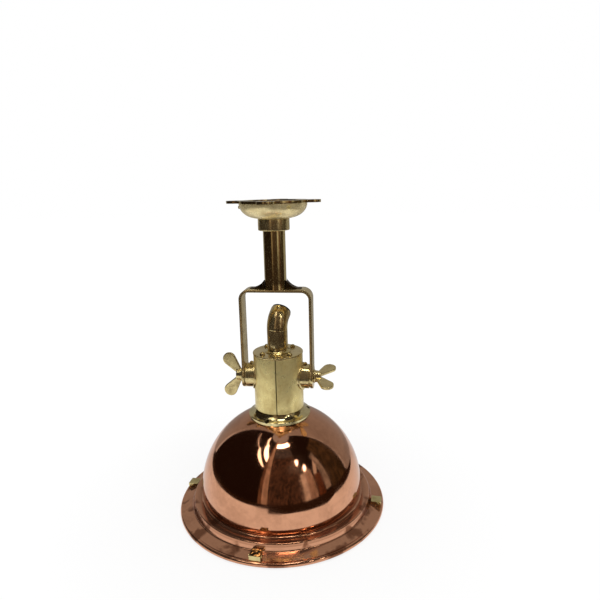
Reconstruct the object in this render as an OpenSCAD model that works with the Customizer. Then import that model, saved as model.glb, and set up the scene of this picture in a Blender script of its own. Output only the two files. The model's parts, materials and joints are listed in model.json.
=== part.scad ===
// Cargo pendant lantern: a copper shade tilting in a brass yoke below a ceiling dish.
// Height 0 is the top face of the ceiling plate; everything hangs below it.
// The yoke lies along X and its two tilt bolts turn about that line.

/* [Ceiling plate] */
// Radius of the round part of the ceiling plate
plate_r = 39.6; // [38.8:0.2:43]
// Thickness of the ceiling plate
plate_t = 3; // [2:0.5:5]
// Radius of the wiring hole through the plate
plate_bore_r = 29; // [22:1:31]
// Distance from the axis to each fixing hole
ear_pcr = 44; // [43.5:0.5:50]
// Radius of the rounded end of each ear
ear_r = 10; // [7:0.5:12]
// Radius of the fixing hole in each ear
ear_hole_r = 2.8; // [2:0.1:3.5]
// Height of the turned-down rim that the dish screws to
plate_rim_h = 7; // [6.5:0.5:8]
// Thickness of the turned-down rim
plate_rim_t = 4.4; // [4:0.1:6]

/* [Ceiling dish] */
// Outer radius of the dish at its mouth
bowl_r = 38.6; // [37:0.2:38.8]
// Depth of the dish below the plate
bowl_depth = 17; // [14:0.5:24]
// Radius at which the curved side runs into the flat bottom
bowl_flat_r = 17; // [14:0.5:22]
// Wall of the dish
bowl_wall = 1.6; // [1:0.1:2.4]
// Direction of the first dish screw
bowl_screw_turn = -53.5; // [-60:0.5:-40]
// Depth of the dish screws below the plate
bowl_screw_drop = 4.2; // [4:0.1:4.6]
// Length of a dish screw below its head
bowl_screw_len = 4.6; // [4:0.2:4.8]

/* [Stem] */
// Outer radius of the stem tube
stem_r = 12.75; // [11:0.25:14]
// Wall of the stem tube
stem_wall = 2; // [1.5:0.1:3]
// Length of stem that shows between collar and yoke
stem_show = 67.4; // [40:0.2:200]
// Radius of the collar below the dish
collar_r = 18; // [16.5:0.25:22]
// Height of the collar
collar_h = 13.5; // [8:0.5:20]
// Thickness of the hexagonal lock nut in the dish
nut_h = 6; // [4:0.5:8]
// Width of the lock nut across its flats
nut_flats = 36; // [32:0.5:42]
// Thickness of the washer under the lock nut
nut_washer_t = 1.5; // [1:0.1:2.5]

/* [Yoke] */
// Distance between the inner faces of the yoke legs
yoke_gap = 78.6; // [78:0.2:84]
// Thickness of the yoke bar
bar_t = 3.2; // [2.6:0.1:5]
// Width of the yoke bar
bar_w = 22; // [16:0.5:28]
// Radius inside the two bends of the bar
bend_r = 8.5; // [4:0.5:14]
// Drop from the top of the yoke to the tilt axis
axis_drop = 107.1; // [105:0.1:140]
// Radius of the round eye at the end of each leg
eye_r = 14.5; // [12.5:0.25:16]
// Radius of the wiring hole through the yoke
yoke_bore_r = 8; // [5:0.5:10]
// Reach of each foot web along the yoke
web_l = 17.8; // [12:0.2:20]
// Height of each foot web on the stem
web_h = 10.9; // [7:0.2:16]
// Thickness of each foot web
web_t = 10; // [5:0.5:14]
// Least height of a web at its outer end
web_lip = 0.6; // [0.4:0.1:1.2]

/* [Cap] */
// Outer radius of the cap sleeve
sleeve_r = 29.5; // [28.5:0.25:30.5]
// Wall of the cap sleeve
sleeve_wall = 2; // [1.5:0.1:2.6]
// Height of the sleeve above the tilt axis
sleeve_above = 28.9; // [27:0.1:34]
// Length of the sleeve below the tilt axis
sleeve_below = 38.5; // [34:0.5:46]
// Direction of the sleeve's butt seam
seam_turn = -86; // [-100:1:-70]
// Width of the seam groove
seam_w = 1.1; // [0.4:0.1:1.4]
// Depth of the seam groove
seam_d = 0.7; // [0.3:0.1:1]
// Thickness of the lid
lid_t = 2; // [1.5:0.1:3]
// Overhang of the lid past the sleeve
lid_lip = 0.5; // [0:0.1:1.5]
// Height of the ring that the lid screws to
lid_ring_h = 4; // [3:0.5:6]
// Inner radius of that ring
lid_ring_ri = 18.4; // [17.6:0.2:19]
// Distance from the axis to each lid screw
lid_screw_pcr = 22.6; // [22:0.1:23]
// Turn of the lid screws from the diagonal
lid_screw_turn = 2; // [0:1:12]

/* [Cap skirt] */
// Outer radius of the flared skirt
skirt_r = 37.5; // [35.5:0.25:38.4]
// Height of the skirt from its edge to the sleeve
skirt_h = 10.5; // [9:0.25:13]
// Thickness of the skirt at its outer edge
skirt_edge = 3.6; // [2:0.1:4.2]
// Radius of the hollow flare
flare_r = 12; // [10:0.5:16]
// Radius of the bore through the skirt
skirt_bore_r = 25.6; // [24:0.2:26]
// Height of the spigot that enters the sleeve
spigot_h = 4; // [2:0.5:5]
// Distance from the skirt's edge to each skirt screw
skirt_screw_in = 3.3; // [3:0.1:3.8]
// Direction of the first skirt screw
skirt_screw_turn = 15; // [10:1:20]

/* [Cable inlet] */
// Outer radius of the inlet tube
inlet_r = 12.2; // [11:0.1:12.6]
// Wall of the inlet tube
inlet_wall = 1.6; // [1:0.1:2.2]
// Height of the joint between tube and elbow above the lid
joint_h = 27.6; // [20:0.2:30]
// Radius of the elbow along its middle
elbow_r = 19; // [17:0.5:24]
// Angle of the elbow
elbow_bend = 50; // [35:1:60]
// Straight length after the bend
elbow_run = 6; // [4:0.5:8]
// Turn of the elbow from square across the yoke
elbow_turn = -16; // [-20:1:10]
// Radius of the round fillet ring at the foot of the tube
ferrule_r = 15.4; // [14.4:0.1:16]
// Height of the ring at the foot of the tube
ferrule_h = 4; // [2.5:0.5:6]
// Radius of the cable hole in the rubber bush
bush_bore_r = 4.5; // [3:0.25:6]
// Length of the bush inside the tube
bush_l = 9; // [6:0.5:11]
// Thickness of the bush's outer lip
bush_lip = 2; // [1:0.25:3]

/* [Tilt bosses and bolts] */
// Radius of each tilt boss
boss_r = 14.5; // [13:0.25:15.5]
// Radius of the base flange of each boss
boss_base_r = 16.6; // [16:0.1:18]
// Thickness of that flange on the sleeve
boss_base_t = 1.6; // [1:0.1:2.4]
// Thickness of the washer between boss and leg
tilt_washer_t = 1.2; // [0.8:0.1:2]
// Radius of that washer
tilt_washer_r = 13.2; // [11:0.2:14]
// Radius of the bolt shank
bolt_r = 4; // [3:0.25:5]
// Radius of the bolt hub at the leg
hub_r = 7.9; // [6.5:0.1:9]
// Radius of the bolt hub at its outer end
hub_end_r = 6.4; // [5:0.1:7.4]
// Length of the bolt hub
hub_l = 8.8; // [7:0.2:12]
// Distance from the bolt's middle to the middle of each wing lobe
lobe_out = 19.6; // [17:0.2:24]
// Distance from the leg to the middle of each wing lobe
lobe_along = 17.4; // [15:0.2:22]
// Radius of each wing lobe
lobe_r = 7.9; // [6:0.1:9]
// Thickness of the wings
wing_t = 3.4; // [2.4:0.1:4.6]
// Half width of a wing where it leaves the hub
wing_root = 3.2; // [2.4:0.1:4]
// Turn of the right bolt's wings from level, front lobe down
wing_dip = 10; // [-20:1:20]
// Radius of the small lock screw on each boss
lock_screw_r = 2.4; // [1.8:0.1:2.8]
// Height of the lock screw's head
lock_head_h = 3; // [2:0.2:4]

/* [Shade] */
// Radius of the dome
dome_r = 98.9; // [92:0.5:102]
// Wall of the copper shade
shade_wall = 1.4; // [1:0.1:2]
// Radius of the opening in the crown
crown_r = 28; // [26.5:0.5:29]
// Height of the dome's widest line above the rim's foot
dome_rise = 25; // [23:0.5:60]
// Radius of the turned-in foot of the dome
tuck_r = 22; // [20:1:30]
// Radius of the bead round the foot
bead_r = 2.9; // [2.2:0.1:3.4]
// Height of the ledge at the bead, above the rim's foot
ledge_h = 15.3; // [13.6:0.1:18]
// Rise of the ledge from bead to step
ledge_rise = 1.1; // [0:0.1:2]
// Width of the ledge from bead to step
ledge_w = 8.7; // [6:0.1:12]
// Lean of the step, outward over its height
step_lean = 2; // [1:0.1:2.4]
// Height of the flange where it leaves the step
flange_h = 8.7; // [7.5:0.1:9.2]
// Drop of the flange to the rolled edge
flange_drop = 3.3; // [2:0.1:3.6]
// Radius of the hollow corner between step and flange
corner_r = 1.5; // [1:0.1:2.2]
// Width from the step's foot to the rim's outer edge
flange_w = 15.6; // [14:0.2:22]
// Radius of the rolled edge
roll_r = 2.8; // [2.4:0.1:3.2]
// Radius of the wire inside the rolled edge
rim_wire_r = 1.3; // [0.8:0.1:1.5]
// Thickness of the ring that clamps the crown from inside
crown_ring_t = 2.6; // [2:0.1:3.6]

/* [Guard lugs] */
// Number of lugs round the rim
lug_count = 4; // [3:1:6]
// Turn of the first lug from the yoke line
lug_turn = -4; // [-12:0.5:12]
// Gap between a lug's inner end and the step
lug_gap = 1; // [0.6:0.1:2]
// Step back of a lug's outer end from the rim's edge
lug_back = 2.6; // [1.6:0.1:3.4]
// Width of a lug along the rim
lug_w = 12.5; // [8:0.5:16]
// Height of a lug's top above the rim's foot
lug_top = 11.8; // [11.2:0.1:13.4]
// Radius of the cross pin in each lug
lug_pin_r = 1.5; // [1:0.1:1.9]
// Distance of the cross pin from a lug's outer end
lug_pin_in = 4.4; // [4:0.1:5.4]
// Radius of the rivet that holds each lug
lug_rivet_r = 1.6; // [1:0.1:1.9]

/* [Lamp holder] */
// Drop of the bracket's base below the lid
bracket_drop = 16; // [14:0.5:20]
// Thickness of the bracket
bracket_t = 1.5; // [1:0.1:2.2]
// Width of the bracket
bracket_w = 12; // [8:0.5:14]
// Radius of the porcelain body
holder_r = 19.4; // [18:0.1:20]
// Height of the porcelain body
holder_h = 42; // [38:0.5:50]
// Radius inside the screwed shell
socket_r = 13.4; // [13:0.1:14]
// Depth of the screwed shell
socket_h = 23; // [20:0.5:27]
// Wall of the screwed shell
socket_wall = 0.8; // [0.5:0.1:1.2]

/* [Bulb] */
// Radius of the bulb's globe
globe_r = 30; // [22:0.5:34]
// Distance from the holder's mouth to the middle of the globe
globe_drop = 50; // [44:0.5:70]
// Radius of the bulb's neck
neck_r = 12.6; // [11:0.2:13]

/* [Clearances] */
// Gap between fixed pieces that slide together in assembly
fit = 0.1; // [0.05:0.01:0.2]
// Gap between faces that turn against each other
run_gap = 0.2; // [0.15:0.05:0.3]
// Radial gap between a bolt and the hole it turns in
pin_gap = 0.1; // [0.05:0.01:0.15]

/* [Hidden] */
$fn = 128;
eps = 0.01;

// Heights, worked down from the ceiling plate
plate_z = -plate_t;
bowl_z = plate_z - bowl_depth;
collar_z = bowl_z - collar_h;
bar_z = collar_z - stem_show;
axis_z = bar_z - axis_drop;
sleeve_top = axis_z + sleeve_above;
sleeve_z = axis_z - sleeve_below;
lid_top = sleeve_top + lid_t;
dome_z = sleeve_z - skirt_h - sqrt(dome_r * dome_r - skirt_r * skirt_r);
skirt_screw_pcr = skirt_r - skirt_screw_in;
foot_z = dome_z - dome_rise;
joint_z = lid_top + joint_h;

// Widths that follow from the pieces inside or outside them
sleeve_ri = sleeve_r - sleeve_wall;
stem_ri = stem_r - stem_wall;
inlet_ri = inlet_r - inlet_wall;
leg_x = yoke_gap / 2;
leg_out = leg_x + bar_t;
boss_x = leg_x - 2 * run_gap - tilt_washer_t;
plate_rim_r = bowl_r - bowl_wall - fit;
hole_r = bolt_r + pin_gap;

// Small screws: shank, head radius and head height
screw_r = 1.5;
screw_head_r = 3.2;
screw_head_h = 3.4;
bowl_head_r = 2.4;
bowl_head_h = 1.2;
skirt_head_r = 2.3;
skirt_head_h = 1.5;
skirt_seat = 2.4;
slot_w = 0.8;
slot_d = 0.7;
neck_turn = 48;

// Shade profile, from the dome down to the rolled edge
tuck_x = dome_r - tuck_r;
bead_x = tuck_x + sqrt(tuck_r * tuck_r - pow(dome_rise - ledge_h, 2)) + 0.4 * bead_r;
bead_h = ledge_h - 0.2 * bead_r;
step_r = bead_x + bead_r + ledge_w;
ledge_out = step_r - shade_wall;
ledge_top = ledge_h + ledge_rise;
step_top = ledge_top - shade_wall;
step_foot = flange_h + corner_r;
corner_x = step_r + step_lean + corner_r;
rim_r = step_r + step_lean + flange_w;
roll_x = rim_r - roll_r;
flange_x = roll_x - 0.68 * roll_r;

// Lugs on the flange
lug_out = rim_r - lug_back;
lug_in = step_r + step_lean + lug_gap;
lug_l = lug_out - lug_in;
lug_pin_x = lug_out - lug_pin_in;
lug_pin_h = (lug_top + flange_h - flange_drop) / 2 + 0.4;
lug_rivet_x = lug_in + 3.6;

// Lamp holder levels
bracket_z = sleeve_top - bracket_drop;
holder_top = bracket_z - bracket_t - fit;
holder_z = holder_top - holder_h;
socket_top = holder_z + socket_h;
cap_gap = 0.25;
cap_r = socket_r - cap_gap;
contact_z = socket_top - 1;
bracket_x = holder_r + bracket_t + 0.6;
bracket_out = sleeve_ri - 1.2;
bracket_screw_x = (bracket_x + bracket_out) / 2;
holder_screw_x = 11;
terminal_y = 12;

// A ring with its foot on height 0
module ring(ro, ri, h) {
    difference() {
        cylinder(r = ro, h = h);
        translate([0, 0, -1]) cylinder(r = ri, h = h + 2);
    }
}

// A slotted screw with a domed head, standing on height 0, its shank below
module dome_screw(r, head_r, head_h, len) {
    cap_sphere = (head_r * head_r + head_h * head_h) / (2 * head_h);
    difference() {
        intersection() {
            translate([0, 0, head_h - cap_sphere]) sphere(r = cap_sphere);
            cylinder(r = head_r + 1, h = head_h + 1);
        }
        translate([-head_r - 1, -slot_w / 2, head_h - slot_d]) cube([2 * head_r + 2, slot_w, slot_d + 1]);
    }
    translate([0, 0, -len]) cylinder(r = r, h = len + eps);
}

// Children copied round the axis, the first one turned by first
module around(count, first) {
    for (i = [0 : count - 1]) rotate([0, 0, first + i * 360 / count]) children();
}

// Children laid at the tilt axis and turned so that their height points out along X
module outward(side) {
    translate([0, 0, axis_z]) rotate([0, side * 90, 0]) children();
}

// The ceiling plate: a ring with four ears and a turned-down rim
module ceiling_plate() {
    color("darkgoldenrod") {
        difference() {
            translate([0, 0, plate_z]) linear_extrude(plate_t) difference() {
                union() {
                    circle(r = plate_r);
                    for (a = [0 : 90 : 270]) rotate(a) {
                        translate([ear_pcr, 0]) circle(r = ear_r);
                        translate([0, -ear_r]) square([ear_pcr, 2 * ear_r]);
                    }
                }
                circle(r = plate_bore_r);
            }
            for (a = [0 : 90 : 270]) rotate([0, 0, a])
                translate([ear_pcr, 0, plate_z - 1]) cylinder(r = ear_hole_r, h = plate_t + 2);
        }
        difference() {
            translate([0, 0, plate_z]) rotate_extrude() intersection() {
                polygon(concat([[0, eps], [plate_rim_r, eps]], dish_side(bowl_wall + fit, 24),
                    [[0, -bowl_depth]]));
                translate([plate_rim_r - plate_rim_t, -plate_rim_h])
                    square([plate_rim_t + 1, plate_rim_h + 1]);
            }
            bowl_screw_holes(screw_r + fit / 2);
        }
    }
}

// Holes for the three screws through the side of the dish
module bowl_screw_holes(r) {
    around(3, bowl_screw_turn) translate([bowl_r - 12, 0, plate_z - bowl_screw_drop])
        rotate([0, 90, 0]) cylinder(r = r, h = 24);
}

// Side of the dish, a quarter of an ellipse from mouth to flat bottom
function dish_side(inset, steps) = [for (i = [0 : steps]) let (a = 90 * i / steps)
    [bowl_flat_r + (bowl_r - bowl_flat_r - inset) * cos(a), -(bowl_depth - inset) * sin(a)]];

// The dish that hides the wiring below the plate
module canopy_bowl() {
    color("gold") difference() {
        translate([0, 0, plate_z]) rotate_extrude() difference() {
            polygon(concat([[stem_r + fit, 0]], dish_side(0, 24), [[stem_r + fit, -bowl_depth]]));
            polygon(concat([[0, 1]], [[bowl_r - bowl_wall, 1]], dish_side(bowl_wall, 24),
                [[0, -bowl_depth + bowl_wall]]));
        }
        bowl_screw_holes(screw_r + fit);
    }
}

// Three small screws through the side of the dish into the plate's rim
module canopy_screws() {
    top_edge = bowl_screw_drop - bowl_head_r;
    seat = bowl_flat_r + (bowl_r - bowl_flat_r) * sqrt(1 - pow(top_edge / bowl_depth, 2));
    color("khaki") around(3, bowl_screw_turn)
        translate([seat + fit, 0, plate_z - bowl_screw_drop]) rotate([0, 90, 0])
            dome_screw(screw_r, bowl_head_r, bowl_head_h, bowl_screw_len);
}

// Collar that carries the dish on the stem
module stem_collar() {
    round_r = 1.2;
    color("goldenrod") rotate_extrude() difference() {
        translate([stem_r + fit, collar_z]) square([collar_r - stem_r - fit, collar_h - fit]);
        translate([collar_r - round_r, collar_z]) difference() {
            translate([0, -1]) square([round_r + 1, round_r + 1]);
            translate([0, round_r]) circle(r = round_r);
        }
    }
}

// The hollow stem between dish and yoke, flared a little at its foot
module stem_tube() {
    foot_flare = 0.5;
    foot_len = 9;
    stem_top = bowl_z + bowl_wall + nut_washer_t + nut_h + 2;
    color("goldenrod") rotate_extrude() polygon([
        [stem_ri, bar_z], [stem_r + foot_flare, bar_z], [stem_r, bar_z + foot_len],
        [stem_r, stem_top], [stem_ri, stem_top]]);
}

// Hexagonal lock nut on the top of the stem
module stem_nut() {
    color("darkgoldenrod") translate([0, 0, bowl_z + bowl_wall + nut_washer_t + 2 * fit]) difference() {
        cylinder(r = nut_flats / 2 / cos(30), h = nut_h, $fn = 6);
        translate([0, 0, -1]) cylinder(r = stem_r + fit, h = nut_h + 2);
    }
}

// Washer under the lock nut
module stem_washer() {
    washer_r = bowl_flat_r + 1.5;
    color("khaki") translate([0, 0, bowl_z + bowl_wall + fit]) ring(washer_r, stem_r + fit, nut_washer_t);
}

// Two hollow-sided webs that brace the stem on the yoke
module stem_webs() {
    drop = web_h - web_lip;
    hollow_r = (web_l * web_l + drop * drop) / (2 * drop);
    color("dimgray") difference() {
        for (side = [0, 180]) rotate([0, 0, side]) translate([0, web_t / 2, bar_z]) rotate([90, 0, 0])
            linear_extrude(web_t) difference() {
                square([stem_r + web_l, web_h]);
                translate([stem_r + web_l, web_lip + hollow_r]) circle(r = hollow_r);
            }
        translate([0, 0, bar_z - 1]) cylinder(r = stem_r + 0.6, h = web_h + 2);
    }
}

// Outline of the bent bar: crossbar, two bends and two legs, with its top on height 0
module bent_bar() {
    bend_out = bend_r + bar_t;
    straight = leg_out - bend_out;
    translate([-straight, -bar_t]) square([2 * straight, bar_t]);
    for (side = [0, 1]) mirror([side, 0]) {
        translate([straight, -bend_out]) intersection() {
            difference() {
                circle(r = bend_out);
                circle(r = bend_r);
            }
            square(bend_out + 1);
        }
        translate([leg_x, -axis_drop]) square([bar_t, axis_drop - bend_out]);
    }
}

// The yoke: one flat bar bent into a U, with a round eye on each leg
module yoke() {
    color("gold") difference() {
        union() {
            translate([0, bar_w / 2, bar_z]) rotate([90, 0, 0]) linear_extrude(bar_w) bent_bar();
            for (side = [-1, 1]) outward(side) translate([0, 0, leg_x]) cylinder(r = eye_r, h = bar_t);
        }
        for (side = [-1, 1]) outward(side) translate([0, 0, leg_x - 1]) cylinder(r = hole_r, h = bar_t + 2);
        translate([0, 0, bar_z - bar_t - 1]) cylinder(r = yoke_bore_r, h = bar_t + 2);
    }
}

// The rolled sleeve of the cap, with its butt seam
module cap_sleeve() {
    color("khaki") difference() {
        translate([0, 0, sleeve_z]) ring(sleeve_r, sleeve_ri, sleeve_above + sleeve_below);
        rotate([0, 0, seam_turn]) translate([sleeve_r - seam_d, -seam_w / 2, sleeve_z - 1])
            cube([seam_d + 1, seam_w, sleeve_above + sleeve_below + 2]);
        for (side = [-1, 1]) outward(side) cylinder(r = bolt_r + 2.5, h = sleeve_r + 5);
    }
}

// Lid of the cap
module cap_lid() {
    round_r = 0.6;
    lid_r = sleeve_r + lid_lip;
    color("khaki") difference() {
        translate([0, 0, sleeve_top]) union() {
            cylinder(r = lid_r, h = lid_t - round_r);
            cylinder(r = lid_r - round_r, h = lid_t);
            translate([0, 0, lid_t - round_r])
                rotate_extrude() translate([lid_r - round_r, 0]) circle(r = round_r);
        }
        translate([0, 0, sleeve_top - 1]) cylinder(r = inlet_r + fit, h = lid_t + 2);
        lid_screw_holes(screw_r + fit);
    }
}

// Holes for the four lid screws
module lid_screw_holes(r) {
    around(4, 45 + lid_screw_turn) translate([lid_screw_pcr, 0, sleeve_top - lid_ring_h - 1])
        cylinder(r = r, h = lid_ring_h + lid_t + 2);
}

// Ring inside the top of the sleeve that takes the lid screws and the bracket
module lid_ring() {
    color("darkgoldenrod") difference() {
        translate([0, 0, sleeve_top - lid_ring_h - fit]) ring(sleeve_ri - fit, lid_ring_ri, lid_ring_h);
        lid_screw_holes(screw_r + fit / 2);
        for (side = [0, 180]) rotate([0, 0, side])
            translate([bracket_screw_x, 0, sleeve_top - lid_ring_h - 1])
                cylinder(r = screw_r + fit / 2, h = lid_ring_h + 2);
    }
}

// Four domed screws in the lid
module lid_screws() {
    color("goldenrod") around(4, 45 + lid_screw_turn) translate([lid_screw_pcr, 0, lid_top + fit])
        dome_screw(screw_r, screw_head_r, screw_head_h, lid_t + lid_ring_h - 0.5);
}

// Point where the flare's arc has its middle, from its two ends
function flare_mid(a, b) = let (m = (a + b) / 2, d = b - a, half = norm(d) / 2)
    m + [-d[1], d[0]] / norm(d) * sqrt(flare_r * flare_r - half * half);

// The flared skirt between sleeve and dome
module cap_skirt() {
    top = [sleeve_r + fit, sleeve_z];
    edge = [skirt_r - 1, sleeve_z - skirt_h + skirt_edge + 0.5];
    color("gold") difference() {
        rotate_extrude() difference() {
            polygon([[skirt_bore_r, sleeve_z + spigot_h], [sleeve_ri - fit, sleeve_z + spigot_h],
                [sleeve_ri - fit, sleeve_z - fit], [top[0], sleeve_z - fit], edge,
                [skirt_r, sleeve_z - skirt_h + skirt_edge],
                [skirt_r, sleeve_z - skirt_h - 4], [skirt_bore_r, sleeve_z - skirt_h - 4]]);
            translate(flare_mid(top, edge)) circle(r = flare_r);
            translate([0, dome_z]) circle(r = dome_r + fit);
        }
        skirt_screw_holes(screw_r + fit);
        at_skirt_screws() translate([0, 0, dome_r + skirt_seat]) cylinder(r = skirt_head_r + 0.4, h = 12);
    }
}

// Children placed on the dome at each skirt screw, their height along the dome's normal
module at_skirt_screws() {
    around(3, skirt_screw_turn) translate([0, 0, dome_z])
        rotate([0, asin(skirt_screw_pcr / dome_r), 0]) children();
}

// Holes for the skirt screws
module skirt_screw_holes(r) {
    at_skirt_screws() translate([0, 0, dome_r - 12]) cylinder(r = r, h = 24);
}

// Three screws through skirt, dome and crown ring
module skirt_screws() {
    len = skirt_seat + shade_wall + crown_ring_t;
    color("darkgoldenrod") at_skirt_screws() translate([0, 0, dome_r + skirt_seat + fit])
        dome_screw(screw_r, skirt_head_r, skirt_head_h, len);
}

// Ring that clamps the crown of the dome from inside
module crown_ring() {
    outer = dome_r - shade_wall - fit;
    color("darkgoldenrod") difference() {
        translate([0, 0, dome_z]) rotate_extrude() intersection() {
            difference() {
                circle(r = outer);
                circle(r = outer - crown_ring_t);
            }
            translate([crown_r, 0]) square([skirt_r + 1 - crown_r, dome_r]);
        }
        skirt_screw_holes(screw_r + fit / 2);
    }
}

// Filleted ring round the foot of the inlet tube
module inlet_ferrule() {
    inner = inlet_r + fit;
    hollow = ferrule_h - 0.8;
    color("darkgoldenrod") translate([0, 0, lid_top + fit]) rotate_extrude() difference() {
        translate([inner, 0]) square([ferrule_r - inner, ferrule_h]);
        translate([ferrule_r + 0.3, ferrule_h + 0.2]) circle(r = hollow);
    }
}

// Straight lower part of the cable inlet
module inlet_tube() {
    color("goldenrod") translate([0, 0, sleeve_top - lid_ring_h + 1])
        ring(inlet_r, inlet_ri, joint_z - sleeve_top + lid_ring_h - 1 - fit);
}

// Children placed at the mouth of the elbow, their height pointing out of it
module at_mouth() {
    translate([0, 0, joint_z]) rotate([0, 0, 90 + elbow_turn]) translate([elbow_r, 0, 0])
        rotate([0, elbow_bend, 0]) translate([-elbow_r, 0, 0]) children();
}

// Bent upper part of the cable inlet, with a short spigot down into the tube
module inlet_elbow() {
    spigot_l = 5;
    spigot_wall = 1.2;
    color("goldenrod") {
        translate([0, 0, joint_z]) rotate([0, 0, 90 + elbow_turn]) translate([elbow_r, 0, 0])
            rotate([90, 0, 0]) rotate([0, 0, 180 - elbow_bend]) rotate_extrude(angle = elbow_bend)
                translate([elbow_r, 0]) difference() {
                    circle(r = inlet_r);
                    circle(r = inlet_ri);
                }
        at_mouth() ring(inlet_r, inlet_ri, elbow_run);
        translate([0, 0, joint_z - spigot_l]) ring(inlet_ri - fit, inlet_ri - spigot_wall, spigot_l);
        translate([0, 0, joint_z]) ring(inlet_ri + 0.4, inlet_ri - spigot_wall, 0.8);
    }
}

// Rubber bush in the mouth of the elbow, where a cable enters
module inlet_bush() {
    color("black") at_mouth() translate([0, 0, elbow_run - bush_l]) difference() {
        union() {
            cylinder(r1 = inlet_ri - fit - 0.8, r2 = inlet_ri - fit, h = bush_l - elbow_run + 0.5);
            translate([0, 0, bush_l - elbow_run + 0.5])
                cylinder(r = inlet_ri - fit, h = elbow_run - 0.5);
            translate([0, 0, bush_l + fit]) cylinder(r = inlet_r - 0.6, h = bush_lip);
            translate([0, 0, bush_l - 1]) cylinder(r = inlet_ri - fit - 0.5, h = 2);
        }
        translate([0, 0, -1]) cylinder(r = bush_bore_r, h = bush_l + bush_lip + 4);
    }
}

// Two round bosses on the sleeve that the tilt bolts screw into
module tilt_bosses() {
    color("khaki") for (side = [-1, 1]) difference() {
        union() {
            outward(side) cylinder(r = boss_r, h = boss_x);
            intersection() {
                outward(side) cylinder(r = boss_base_r, h = boss_x);
                translate([0, 0, axis_z - boss_base_r - 1])
                    cylinder(r = sleeve_r + boss_base_t, h = 2 * boss_base_r + 2);
            }
        }
        translate([0, 0, axis_z - 2 * boss_base_r]) cylinder(r = sleeve_r + fit / 2, h = 4 * boss_base_r);
        outward(side) cylinder(r = hole_r, h = boss_x + 1);
        translate([side * lock_x, 0, axis_z]) cylinder(r = screw_r + fit / 2, h = boss_r + 1);
        translate([side * lock_x, 0, axis_z + boss_r])
            cylinder(r = lock_screw_r + fit, h = boss_base_r);
    }
}

lock_x = sleeve_r + 3.2;

// Small lock screw in the top of each boss, its head in a spot face
module lock_screws() {
    color("goldenrod") for (side = [-1, 1]) translate([side * lock_x, 0, axis_z + boss_r + fit])
        dome_screw(screw_r, lock_screw_r, lock_head_h, boss_r - hole_r - 0.6);
}

// Washers between the bosses and the yoke legs
module tilt_washers() {
    color("darkkhaki") for (side = [-1, 1]) outward(side)
        translate([0, 0, boss_x + run_gap / 2]) ring(tilt_washer_r, hole_r, tilt_washer_t);
}

// Outline of one wing lobe: a paddle on a neck that widens from the hub, along X then out in Y
module wing_outline() {
    root = [hub_l * 0.55, hub_end_r * 0.5];
    lobe = [lobe_along, lobe_out];
    d = (lobe - root) / norm(lobe - root);
    n = [-d[1], d[0]];
    slant = asin((lobe_r - wing_root) / norm(lobe - root));
    touch_a = lobe + lobe_r * (n * cos(slant) - d * sin(slant));
    touch_b = lobe + lobe_r * (-n * cos(slant) - d * sin(slant));
    translate(lobe) circle(r = lobe_r);
    polygon([root + n * wing_root, touch_a, lobe, touch_b, root - n * wing_root]);
}

// A wing bolt with its seat on height 0, its shank below and its wings along X
module wing_bolt() {
    shank = leg_out - sleeve_ri + 1 + run_gap;
    seat_h = 1.6;
    union() {
        translate([0, 0, -shank]) cylinder(r = bolt_r, h = shank + 1);
        cylinder(r = hub_r, h = seat_h);
        translate([0, 0, seat_h]) cylinder(r1 = hub_r - 0.6, r2 = hub_end_r, h = hub_l - seat_h);
        for (side = [0, 1]) mirror([side, 0, 0]) rotate([90, 0, 0]) translate([0, 0, -wing_t / 2])
            linear_extrude(wing_t) mirror([1, -1]) wing_outline();
    }
}

// Tilt bolt on the left, its wings upright
module left_wing_bolt() {
    color("goldenrod") outward(-1) translate([0, 0, leg_out + run_gap]) wing_bolt();
}

// Tilt bolt on the right, its wings nearly level
module right_wing_bolt() {
    color("goldenrod") outward(1) translate([0, 0, leg_out + run_gap])
        rotate([0, 0, 90 + wing_dip]) wing_bolt();
}

// Points of an arc round c, from angle a to angle b
function arc(c, r, a, b, steps) = [for (i = [0 : steps]) let (t = a + (b - a) * i / steps)
    c + r * [cos(t), sin(t)]];

// Half section of the shade's steps, with the rim's foot on height 0: bead, ledge, step, hollow
// corner and flange in one skin, its underside first and its top side on the way back
module step_section() {
    bead = [bead_x, bead_h];
    bead_start = 130;
    bead_end = asin((ledge_h - bead_h) / bead_r);
    drop = [ledge_out, step_top];
    foot = [corner_x, step_foot];
    under = concat(arc(bead, bead_r - shade_wall, bead_start, 0, 12),
        [[bead_x + bead_r - shade_wall, ledge_h - shade_wall], drop],
        arc(foot, corner_r + shade_wall, 180, 270, 8),
        [[flange_x, flange_h - flange_drop - shade_wall]]);
    over = concat([[flange_x, flange_h - flange_drop]],
        arc(foot, corner_r, 270, 180, 8),
        arc(drop, shade_wall, 0, 90, 6),
        arc(bead, bead_r, bead_end, bead_start, 14));
    polygon(concat(under, over));
    translate([roll_x, roll_r]) difference() {
        circle(r = roll_r);
        circle(r = rim_wire_r + fit);
    }
}

// Half section of the dome: a spherical shell with a tighter turned-in foot
module dome_section() {
    intersection() {
        difference() {
            circle(r = dome_r);
            circle(r = dome_r - shade_wall);
        }
        translate([crown_r, 0]) square(dome_r);
    }
    foot = dome_rise - bead_h;
    translate([tuck_x, 0]) intersection() {
        difference() {
            circle(r = tuck_r);
            circle(r = tuck_r - shade_wall);
        }
        translate([0, -foot]) square([tuck_r + 1, foot]);
    }
}

// The spun copper shade: dome, bead, ledge, step, flange and rolled edge in one skin
module shade() {
    color("peru") difference() {
        rotate_extrude() {
            translate([0, dome_z]) dome_section();
            translate([0, foot_z]) step_section();
        }
        skirt_screw_holes(screw_r + fit);
        around(lug_count, lug_turn) translate([lug_rivet_x, 0, foot_z - 1])
            cylinder(r = lug_rivet_r + fit, h = lug_top);
    }
}

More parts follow.
